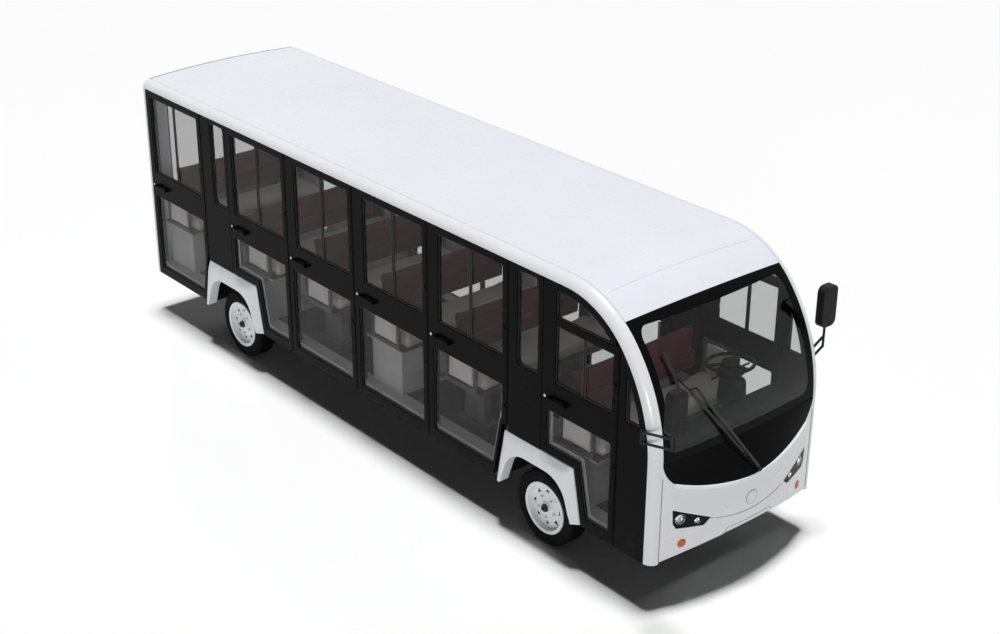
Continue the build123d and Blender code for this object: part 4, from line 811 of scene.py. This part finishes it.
def outer_panes(node, out, below=math.inf):
    """The outward faces of a node's panes, each as one face."""
    panes = merged_copy(node, flat=1)
    others = [face for face in panes.faces
              if face.normal.dot(out) < FACES_OUT or face.calc_center_bounds().z > below]
    bmesh.ops.delete(panes, geom=others, context="FACES")
    return panes


def keep_border(panes, width):
    """Leaves only a strip along the edges of the panes."""
    middles = panes.faces[:]
    bmesh.ops.inset_region(panes, faces=middles, thickness=width, use_boundary=True, use_even_offset=True)
    bmesh.ops.delete(panes, geom=middles, context="FACES")


def thicken(strip, push):
    """Gives a flat strip a thickness by pushing its faces out."""
    raised = bmesh.ops.extrude_face_region(strip, geom=strip.faces[:])["geom"]
    bmesh.ops.translate(strip, vec=push, verts=[v for v in raised if isinstance(v, bmesh.types.BMVert)])
    bmesh.ops.recalc_face_normals(strip, faces=strip.faces)


def gasket(name, node, body, out, width, proud):
    """A rubber ring along the edge of every pane of a node, on its outward face."""
    ring = outer_panes(node, out)
    keep_border(ring, width)
    thicken(ring, out * proud)
    return dress(name, ring, body, gasket_rubber)


for side, hand in SIDES:
    out = Vector((0, hand, 0))
    gasket(f"fixed_gaskets_{side}", "fixed_glass", "root", out, GASKET_WIDTH, GASKET_PROUD)
    for k in ROWS:
        door = f"row_{k}_{side}"
        gasket(f"door_gaskets_{door}", f"door_glass_{door}", f"door_{door}", out, GASKET_WIDTH, GASKET_PROUD)
gasket("rear_gasket", "fixed_glass", "root", Vector((-1, 0, 0)), REAR_GASKET_WIDTH, REAR_GASKET_PROUD)
print("gaskets round", len(DOORS) + len(SIDES) + 1, "sets of panes")

# %% [markdown]
# Behind each lower pane a grey flange shows along the sill and round the wheel arch. It follows the lower
# edge of the pane, so it is cut from the pane's outline as the gaskets are, and only what faces down
# stays.

# %% Grey sill flanges
FLANGE_WIDTH = 0.036
FLANGE_BEHIND = 0.0135
FLANGE_THICKNESS = 0.003
LOWER_PANES_TO = 0.95
FACES_DOWN = -0.15
POINT_DIGITS = 5


def sill_flange(name, node, body, out):
    """A flat strip inside a door along the lower edges of its lower pane."""
    strip = outer_panes(node, out, below=LOWER_PANES_TO)
    outline = {point.co.to_tuple(POINT_DIGITS) for point in strip.verts}
    keep_border(strip, FLANGE_WIDTH)
    upper = []
    for face in strip.faces:
        edge = [point.co for point in face.verts if point.co.to_tuple(POINT_DIGITS) in outline]
        outward = sum(edge, Vector()) / len(edge) - face.calc_center_median()
        if outward.normalized().z > FACES_DOWN:
            upper.append(face)
    bmesh.ops.delete(strip, geom=upper, context="FACES")
    bmesh.ops.translate(strip, vec=-out * FLANGE_BEHIND, verts=strip.verts)
    thicken(strip, -out * FLANGE_THICKNESS)
    return dress(name, strip, body, house_grey)


for side, hand in SIDES:
    for k in ROWS:
        door = f"row_{k}_{side}"
        sill_flange(f"sill_flange_{door}", f"door_glass_{door}", f"door_{door}", Vector((0, hand, 0)))
print(len(DOORS), "flanges", FLANGE_WIDTH, "m wide")

# %% [markdown]
# Every door has a bright lock barrel behind its pull handle. It is one small turned part, set where the
# CAD lock is, at a fixed distance from the rear edge of its door.

# %% Lock barrels
DOOR_GAP = 0.003
LOCK_SECTION = [(0, 0.012), (0.005, 0.012), (0.0072, 0.0105), (0.008, 0.0085), (0.0072, 0.0068),
                (0.0074, 0.0)]
LOCK_FROM_REAR, LOCK_OUT, LOCK_HEIGHT = 0.036, 0.8, 1.21
row_rear = {k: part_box(f"door_row_{k}_left")[0].x - DOOR_GAP for k in ROWS}
bright_chrome = finish("bright_chrome", (0.5, 0.5, 0.51), Metallic=1.0)
gloss(bright_chrome, 120.0, 0.08, 0.2)
for side, hand in SIDES:
    for k in ROWS:
        spot = (row_rear[k] + LOCK_FROM_REAR, hand * LOCK_OUT, LOCK_HEIGHT)
        lock = lathe(LOCK_SECTION, spot, (0, hand, 0), 28)
        dress(f"lock_row_{k}_{side}", lock, f"door_row_{k}_{side}", bright_chrome)
print(len(DOORS), "locks at", LOCK_HEIGHT, "m")

# %% [markdown]
# In each black housing two chromed bowls sit behind clear lenses, and an amber indicator stands below.
# Lenses are pressed glass or plastic, so they pass light and have a fine pattern on the coloured ones.

# %% Lamp finishes
clear_lens = finish("clear_lens", (0.97, 0.98, 1.0), Transmission_Weight=1, IOR=1.4)
gloss(clear_lens, 60.0, 0.01, 0.05)
amber_lens = finish("amber_lens", (0.75, 0.2, 0.015), Transmission_Weight=0.35, IOR=1.4)
gloss(amber_lens, 60.0, 0.08, 0.18)
relief(amber_lens, pebbles(amber_lens, 130.0), 0.0015)
red_lens = finish("red_lens", (0.45, 0.012, 0.01), Transmission_Weight=0.25, IOR=1.4)
gloss(red_lens, 60.0, 0.08, 0.18)
relief(red_lens, pebbles(red_lens, 110.0), 0.0015)
lamp_chrome = finish("lamp_chrome", (0.32, 0.32, 0.33), Metallic=1.0)
gloss(lamp_chrome, 90.0, 0.1, 0.25)
print("lenses and lamp chrome mixed")

# %% [markdown]
# The nose is bowed, so each lamp is turned about the line square to the nose there. Bowls and lenses of
# different size share one section, written as a depth and a share of the lamp's radius.

# %% Front lamps
NOSE_BOW = 0.133
NOSE_SKIN = 0.003
BEAMS = [(0.588, 0.667, 0.04), (0.455, 0.621, 0.028)]
INDICATOR = (0.572, 0.486, 0.032)
BOWL_SECTION = [(-0.006, 0.98), (-0.004, 0.9), (-0.008, 0.84), (-0.019, 0.74), (-0.027, 0.5), (-0.03, 0.2),
                (-0.03, 0.0)]
LENS_SECTION = [(-0.002, 0.0), (-0.0025, 0.2), (-0.004, 0.38), (-0.0065, 0.52), (-0.008, 0.58),
                (-0.012, 0.62), (-0.022, 0.6), (-0.024, 0.0)]
DROP_SECTION = [(0.009, 0.0), (0.0086, 0.35), (0.007, 0.65), (0.004, 0.86), (0.0, 0.97), (-0.012, 0.97),
                (-0.012, 0.0)]
LAMP_STEPS = 36
mask_low, mask_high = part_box("front_mask")
nose_half = mask_high.y
nose_front = mask_high.x - NOSE_SKIN
nose_radius = (nose_half ** 2 + NOSE_BOW ** 2) / (2 * NOSE_BOW)


def on_nose(y, z):
    """A point of the bowed nose and the direction square to it."""
    out = Vector((math.sqrt(nose_radius ** 2 - y ** 2), y, 0)).normalized()
    return Vector((nose_front - nose_radius, 0, z)) + out * nose_radius, out


def lamp_part(section, y, z, radius):
    """A turned lamp part on the nose, its section given in shares of its radius."""
    point, out = on_nose(y, z)
    return lathe([(along, radius * share) for along, share in section], point, out, LAMP_STEPS)


bowls, lenses, ambers = bmesh.new(), bmesh.new(), bmesh.new()
for _, hand in SIDES:
    for y, z, radius in BEAMS:
        bowls = gather(bowls, lamp_part(BOWL_SECTION, hand * y, z, radius))
        lenses = gather(lenses, lamp_part(LENS_SECTION, hand * y, z, radius))
    y, z, radius = INDICATOR
    ambers = gather(ambers, lamp_part(DROP_SECTION, hand * y, z, radius))
bowl_piece = dress("headlamp_bowls", bowls, "root", lamp_chrome)
lens_piece = dress("headlamp_lenses", lenses, "root", clear_lens)
amber_piece = dress("indicator_lenses", ambers, "root", amber_lens)
for piece in (bowl_piece, lens_piece, amber_piece):
    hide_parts("lamp_lenses")
print("lamps in front:", 2 * len(BEAMS), "beams, 2 indicators")

# %% [markdown]
# The tail cannot be seen in the photograph. Such cars have upright red lamps at the corners there, a tall
# one for light and brake over a short one, and rounded blocks are enough for them.

# %% Tail lamps
TAIL_LAMP_OUT, TAIL_LAMP_HEIGHT = 0.712, 0.9
TAIL_LAMP_HALF = 0.032
TAIL_LAMP_PROUD, TAIL_LAMP_SUNK = 0.005, 0.012
TAIL_LAMP_ROUNDING = 0.006
TAIL_LAMP_PARTS = ((0.045, 0.16), (-0.085, 0.08))
tails = bmesh.new()
for _, hand in SIDES:
    y = hand * TAIL_LAMP_OUT
    for rise, tall in TAIL_LAMP_PARTS:
        z = TAIL_LAMP_HEIGHT + rise
        low = (cad_low.x - TAIL_LAMP_PROUD, y - TAIL_LAMP_HALF, z - tall / 2)
        high = (cad_low.x + TAIL_LAMP_SUNK, y + TAIL_LAMP_HALF, z + tall / 2)
        tails = gather(tails, rounded_block(low, high, TAIL_LAMP_ROUNDING))
tail_piece = dress("tail_lamps", tails, "root", red_lens)
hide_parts("lamp_lenses")
print("tail lamps of", len(TAIL_LAMP_PARTS), "parts each")

# %% [markdown]
# The mask is a moulding whose upper edge is rolled over into a thick lip, and a narrow dark joint parts it
# from each pillar. Both follow the bowed nose, so their points lie on the nose at even steps and a bead
# runs along.

# %% Mask lip and joints
SMILE_SHOULDER_OUT = 0.64
SMILE_ENDS_BELOW, SMILE_DIPS_BELOW = 0.15, 0.267
LIP_STEPS = 36
LIP_RADIUS, LIP_BELOW, LIP_SUNK = 0.0115, 0.008, 0.004
LINE_RADIUS, LINE_SIDES = 0.0022, 6
JOINT_INSET, JOINT_FOOT, JOINT_HEAD = 0.001, 0.004, 0.09
smile_low = mask_high.z - SMILE_DIPS_BELOW
smile_rise = SMILE_DIPS_BELOW - SMILE_ENDS_BELOW
smile_radius = (SMILE_SHOULDER_OUT ** 2 + smile_rise ** 2) / (2 * smile_rise)
lip_line = []
for step in range(LIP_STEPS + 1):
    y = SMILE_SHOULDER_OUT * (2 * step / LIP_STEPS - 1)
    z = smile_low + smile_radius - math.sqrt(smile_radius ** 2 - y ** 2)
    point, out = on_nose(y, z - LIP_BELOW)
    lip_line.append(point - out * LIP_SUNK)
dress("mask_lip", bead(lip_line, LIP_RADIUS, 12), "root", white_enamel, sharp=60)
joint_grey = finish("joint_grey", (0.1, 0.1, 0.1), gleam=0.2)
tint(joint_grey, 20.0, (0.08, 0.08, 0.08), (0.13, 0.13, 0.13))
joint_heights = (mask_low.z + JOINT_FOOT, mask_high.z - JOINT_HEAD)
joints = bmesh.new()
for _, hand in SIDES:
    ends = [on_nose(hand * (nose_half - JOINT_INSET), z)[0] for z in joint_heights]
    joints = gather(joints, bead(ends, LINE_RADIUS, LINE_SIDES))
dress("mask_joints", joints, "root", joint_grey)
print("mask lip of", len(lip_line), "points and two joints")

# %% [markdown]
# A shallow recess in the chin and a blank disc in the middle of the mask show as fine grey shadow lines.
# Thin beads and a flat ring on the nose draw those lines as edges that also hold in a close view, and their
# grey colour is painted shadow.

# %% Mask recess and disc
RECESS_CORNERS = ((-0.238, 0.457), (-0.206, 0.492), (0.206, 0.492), (0.238, 0.457))
RECESS_STEPS = 12
DISC_HEIGHT, DISC_RADIUS = 0.652, 0.048
RING_WIDTH, RING_PROUD = 0.0035, 0.0034
# painted shadow: the grey of the recess beads and the disc ring stands for the shadow along those edges
painted_shadow_grey = finish("shadow_line_grey", (0.42, 0.42, 0.43), gleam=0.2)
tint(painted_shadow_grey, 20.0, (0.38, 0.38, 0.39), (0.46, 0.46, 0.47))
shares = [step / RECESS_STEPS for step in range(RECESS_STEPS + 1)]
lines = bmesh.new()
for (y, z), (next_y, next_z) in zip(RECESS_CORNERS, RECESS_CORNERS[1:]):
    run = [on_nose(y + (next_y - y) * share, z + (next_z - z) * share)[0] for share in shares]
    lines = gather(lines, bead(run, LINE_RADIUS, LINE_SIDES))
ring_outer = DISC_RADIUS + RING_WIDTH
ring_section = [(0.0, DISC_RADIUS), (RING_PROUD, DISC_RADIUS), (RING_PROUD, ring_outer), (0.0, ring_outer)]
ring = lathe(ring_section, (nose_front, 0, DISC_HEIGHT), (1, 0, 0), 48, ring=True)
dress("mask_lines", gather(lines, ring), "root", painted_shadow_grey)
print("recess of", len(RECESS_CORNERS), "corners and a disc of", DISC_RADIUS, "m")

# %% [markdown]
# A shallow ridge is pressed across the roof where its front bend begins, and it catches a thin line of
# light. Its height has to follow the crown of the roof, so each of its points is found by dropping a ray
# onto the roof skin.

# %% Roof ridge
RIDGE_AT, RIDGE_HALF = 2.39, 0.68
RIDGE_STEPS = 24
RIDGE_RADIUS, RIDGE_SUNK = 0.0045, 0.0015
ABOVE_ROOF = 3
roof_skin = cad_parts["roof_panel"]
ridge_line = []
for step in range(RIDGE_STEPS + 1):
    y = RIDGE_HALF * (2 * step / RIDGE_STEPS - 1)
    hit, landed, _, _ = roof_skin.ray_cast(Vector((RIDGE_AT, y, ABOVE_ROOF)), Vector((0, 0, -1)))
    if hit:
        ridge_line.append(landed - Vector((0, 0, RIDGE_SUNK)))
dress("roof_ridge", bead(ridge_line, RIDGE_RADIUS, 10), "root", white_enamel, sharp=60)
print("roof ridge through", len(ridge_line), "points")

# %% [markdown]
# The mirror heads are blow-moulded shells with generous rounding, and a silvered plate looks back from
# each. The crisp CAD heads are copied and bevelled, and the plates are thin rounded blocks just proud of
# the rear faces.

# %% Mirrors
HEAD_ROUNDING = 0.012
MIRROR_HEADS = [Vector((2.932, 0.85, 1.736)), Vector((3.18, -0.85, 1.614))]
MIRROR_HALF = Vector((0.03, 0.071, 0.15))
PLATE_MARGIN = Vector((0, 0.016, 0.016))
PLATE_PROUD, PLATE_SUNK = 0.002, 0.004
heads = merged_copy("mirrors", flat=2)
soft_heads = dress("soft_mirror_heads", heads, "root", grained_plastic, sharp=50)
soften(soft_heads, HEAD_ROUNDING, above=55)
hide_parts("mirrors")
silver = finish("mirror_silver", (0.86, 0.87, 0.88), Metallic=1.0)
gloss(silver, 5.0, 0.01, 0.03)
plates = bmesh.new()
for middle in MIRROR_HEADS:
    low = middle - MIRROR_HALF + PLATE_MARGIN
    high = middle + MIRROR_HALF - PLATE_MARGIN
    high.x = low.x + PLATE_SUNK
    low.x -= PLATE_PROUD
    plates = gather(plates, rounded_block(low, high, 0.0018, 2))
dress("mirror_plates", plates, "root", silver)
print(len(MIRROR_HEADS), "mirrors")

# %% [markdown]
# The wiper blade is a rubber strip on a pressed bow, thicker than the two arms that carry it. All three
# are straight beads between points of the CAD wiper, and the blade runs on a little past its two ends.

# %% Wiper blade
BLADE_ENDS = (2.934, -0.545, 1.54), (2.81, -0.579, 1.776)
BLADE_SHARES = (-0.04, 0.1, 0.5, 0.9, 1.04)
WIPER_ARMS = (
    ((3.09, -0.057, 0.984), (2.944, -0.478, 1.543)),
    ((3.142, 0.046, 0.858), (2.946, -0.419, 1.543)),
)
ARM_SHARES = (0.04, 0.35, 0.97)
BLADE_RADIUS, ARM_RADIUS = 0.0105, 0.0095


def rod(ends, shares, radius):
    """A straight six-sided bead through shares of the way between two ends."""
    first, last = (Vector(end) for end in ends)
    return bead([first.lerp(last, share) for share in shares], radius, 6)


blade = rod(BLADE_ENDS, BLADE_SHARES, BLADE_RADIUS)
for arm in WIPER_ARMS:
    blade = gather(blade, rod(arm, ARM_SHARES, ARM_RADIUS))
dress("wiper_blade", blade, "root", gasket_rubber)
print("wiper blade on", len(WIPER_ARMS), "arms")

# %% [markdown]
# Round the steering column sits a moulded shroud that narrows upwards, and the wheel has a padded horn
# button. These two small black mouldings give the driver's place its look through the windscreen.

# %% Column shroud and horn button
WHEEL_CENTRE = Vector((2.527, 0.38, 1.293))
SHROUD_LOW, SHROUD_HIGH = Vector((-0.06, -0.085, -0.3)), Vector((0.115, 0.085, -0.085))
SHROUD_ROUNDING = 0.045
SHROUD_NARROW = 0.78
BUTTON_SECTION = [(-0.012, 0.05), (0.006, 0.062), (0.02, 0.06), (0.03, 0.048), (0.035, 0.028), (0.036, 0.0)]
BUTTON_TILT = math.radians(4)
shroud = rounded_block(WHEEL_CENTRE + SHROUD_LOW, WHEEL_CENTRE + SHROUD_HIGH, SHROUD_ROUNDING, 4)
shroud_top, shroud_tall = WHEEL_CENTRE.z + SHROUD_HIGH.z, SHROUD_HIGH.z - SHROUD_LOW.z
for point in shroud.verts:
    down = (shroud_top - point.co.z) / shroud_tall
    width = SHROUD_NARROW + (1 - SHROUD_NARROW) * down
    point.co.y = WHEEL_CENTRE.y + (point.co.y - WHEEL_CENTRE.y) * width
dress("column_shroud", shroud, "root", grained_plastic, sharp=60)
button_axis = (-math.sin(BUTTON_TILT), 0, math.cos(BUTTON_TILT))
button = lathe(BUTTON_SECTION, WHEEL_CENTRE, button_axis, 32)
dress("horn_button", button, "root", grained_plastic, sharp=60)
print("shroud and horn button round", tuple(round(v, 3) for v in WHEEL_CENTRE))

# %% [markdown]
# The bench cushions, end pads and backrests are padded and covered in hide. A blank with rounded edges is
# remeshed evenly and blown up a little with the Cloth solver, then pressed flat where it rests, and a seam
# is pinched in. One pattern of each kind is enough, because all six rows are sewn alike.

# %% Helpers for padding
PADDING_FRAMES = 20
PADDING_PRESSURE = 4
NO_LENGTH = 1e-9


def frozen(worker):
    """The mesh of an object with its modifiers worked in."""
    return bpy.data.meshes.new_from_object(worker.evaluated_get(bpy.context.evaluated_depsgraph_get()))


def swell(blank, voxel, cap):
    """Blows a closed blank up a little; no point moves further than the cap."""
    mesh = bpy.data.meshes.new("padding")
    blank.to_mesh(mesh)
    blank.free()
    worker = bpy.data.objects.new("padding", mesh)
    scene.collection.objects.link(worker)
    even = worker.modifiers.new("even", "REMESH")
    even.mode = "VOXEL"
    even.voxel_size = voxel
    rest = frozen(worker)
    worker.modifiers.clear()
    worker.data = rest
    shape = bmesh.new()
    shape.from_mesh(rest)
    air = worker.modifiers.new("air", "CLOTH")
    air.settings.use_pressure = True
    air.settings.uniform_pressure_force = PADDING_PRESSURE
    air.settings.effector_weights.gravity = 0
    for step in range(1, PADDING_FRAMES + 1):
        scene.frame_set(step)
    blown = frozen(worker)
    worker.modifiers.clear()
    for point, moved in zip(shape.verts, blown.vertices):
        push = moved.co - point.co
        point.co += push * min(1, cap / max(push.length, NO_LENGTH))
    bpy.data.meshes.remove(blown)
    scene.frame_set(1)
    bpy.data.objects.remove(worker)
    return shape


def pinch(shape, axis, at, depth, reach, middle):
    """Draws a sewn seam: points near a plane move towards the middle of the pad."""
    for point in shape.verts:
        near = math.exp(-((point.co[axis] - at) / reach) ** 2)
        inward = middle - point.co
        inward[axis] = 0
        if inward.length > NO_LENGTH:
            point.co += inward.normalized() * depth * near


def hold_in(shape, low, high):
    """Keeps a pad between two corners, flat where it meets them."""
    for point in shape.verts:
        for axis in range(3):
            point.co[axis] = min(max(point.co[axis], low[axis]), high[axis])


def upholster(pattern, name, shift, skin):
    """A copy of a sewn pattern, moved to its row and smoothed once."""
    shape = pattern.copy()
    bmesh.ops.translate(shape, vec=shift, verts=shape.verts)
    piece = dress(name, shape, "root", skin, sharp=180)
    smooth = piece.modifiers.new("smooth", "SUBSURF")
    smooth.levels = smooth.render_levels = 1
    return piece

# %% [markdown]
# The cushion is a deep bench pad with its seam a little below half its height. Its blank is cut smaller
# than the finished pad, with more room at the top than at the bottom, so that the air can round it.

# %% Bench cushions
SEAT_LOW, SEAT_HIGH = Vector((0.084, -0.69, 0.85)), Vector((0.484, 0.69, 0.972))
SEAT_ROOM_LOW, SEAT_ROOM_HIGH = Vector((0.014, 0.014, 0.004)), Vector((0.014, 0.014, 0.022))
SEAT_SEAM = {"axis": 2, "at": 0.905, "depth": 0.006, "reach": 0.012}
seat_blank = rounded_block(SEAT_LOW + SEAT_ROOM_LOW, SEAT_HIGH - SEAT_ROOM_HIGH, 0.03)
cushion = swell(seat_blank, voxel=0.016, cap=0.026)
hold_in(cushion, SEAT_LOW, SEAT_HIGH)
pinch(cushion, middle=(SEAT_LOW + SEAT_HIGH) / 2, **SEAT_SEAM)
for k in ROWS:
    piece = upholster(cushion, f"cushion_row_{k}", (row_rear[k], 0, 0), cream_hide)
    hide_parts("seat_cushions")
print("cushion pattern has", len(cushion.verts), "points")
cushion.free()

# %% [markdown]
# An end pad is a thin upright pad with round corners at each end of a bench. It swells mostly outwards,
# where it shows through the lower pane, and the pads of the right side are mirrored.

# %% End pads
PAD_LOW, PAD_HIGH = Vector((0.107, -0.0105, 0.873)), Vector((0.401, 0.0115, 1.167))
PAD_ROOM = Vector((0.004, 0.003, 0.004))
PAD_CORNER = 0.055
PAD_OUT = 0.702
PAD_SWELL_OUT, PAD_SWELL_IN = Vector((0, 0.016, 0)), Vector((0, 0.002, 0))
pad_blank = rounded_block(PAD_LOW + PAD_ROOM, PAD_HIGH - PAD_ROOM, 0.0005, 1)
corners = [edge for edge in pad_blank.edges if abs((edge.verts[0].co - edge.verts[1].co).y) > 0.01]
round_edges(pad_blank, corners, PAD_CORNER, 6)
pad = swell(pad_blank, voxel=0.008, cap=0.012)
hold_in(pad, PAD_LOW - PAD_SWELL_IN, PAD_HIGH + PAD_SWELL_OUT)
for door, k, hand in DOORS:
    turned = pad.copy()
    if hand < 0:
        bmesh.ops.scale(turned, vec=(1, -1, 1), verts=turned.verts)
        bmesh.ops.recalc_face_normals(turned, faces=turned.faces)
    spot = (row_rear[k], hand * PAD_OUT, 0)
    piece = upholster(turned, f"end_pad_{door}", spot, cream_hide)
    turned.free()
    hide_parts("seat_cushions")
print(len(DOORS), "end pads from a pattern of", len(pad.verts), "points")
pad.free()

# %% [markdown]
# The backrest has its seam near the rear edge, where the front cover meets the back. Below it a plain
# covered board reaches down to the cushion; it is not padded, so a rounded block in the same hide is
# enough.

# %% Backrests and boards
BACK_LOW, BACK_HIGH = Vector((0.022, -0.612, 1.073)), Vector((0.096, 0.612, 1.338))
BACK_ROOM_LOW, BACK_ROOM_HIGH = Vector((0.008, 0.01, 0.01)), Vector((0.018, 0.01, 0.01))
BACK_SEAM = {"axis": 0, "at": 0.04, "depth": 0.005, "reach": 0.01}
BOARD_LOW, BOARD_HIGH = Vector((0.026, -0.609, 0.976)), Vector((0.088, 0.609, 1.125))
BOARD_ROUNDING = 0.018
back_blank = rounded_block(BACK_LOW + BACK_ROOM_LOW, BACK_HIGH - BACK_ROOM_HIGH, 0.024)
back_rest = swell(back_blank, voxel=0.014, cap=0.022)
hold_in(back_rest, BACK_LOW, BACK_HIGH)
pinch(back_rest, middle=(BACK_LOW + BACK_HIGH) / 2, **BACK_SEAM)
for k in ROWS:
    piece = upholster(back_rest, f"backrest_row_{k}", (row_rear[k], 0, 0), maroon_hide)
    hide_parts("seat_backs")
back_rest.free()
for k in ROWS:
    shift = Vector((row_rear[k], 0, 0))
    board = rounded_block(BOARD_LOW + shift, BOARD_HIGH + shift, BOARD_ROUNDING)
    dress(f"back_board_row_{k}", board, "root", maroon_hide, sharp=60)
print(len(ROWS), "backrests and boards")
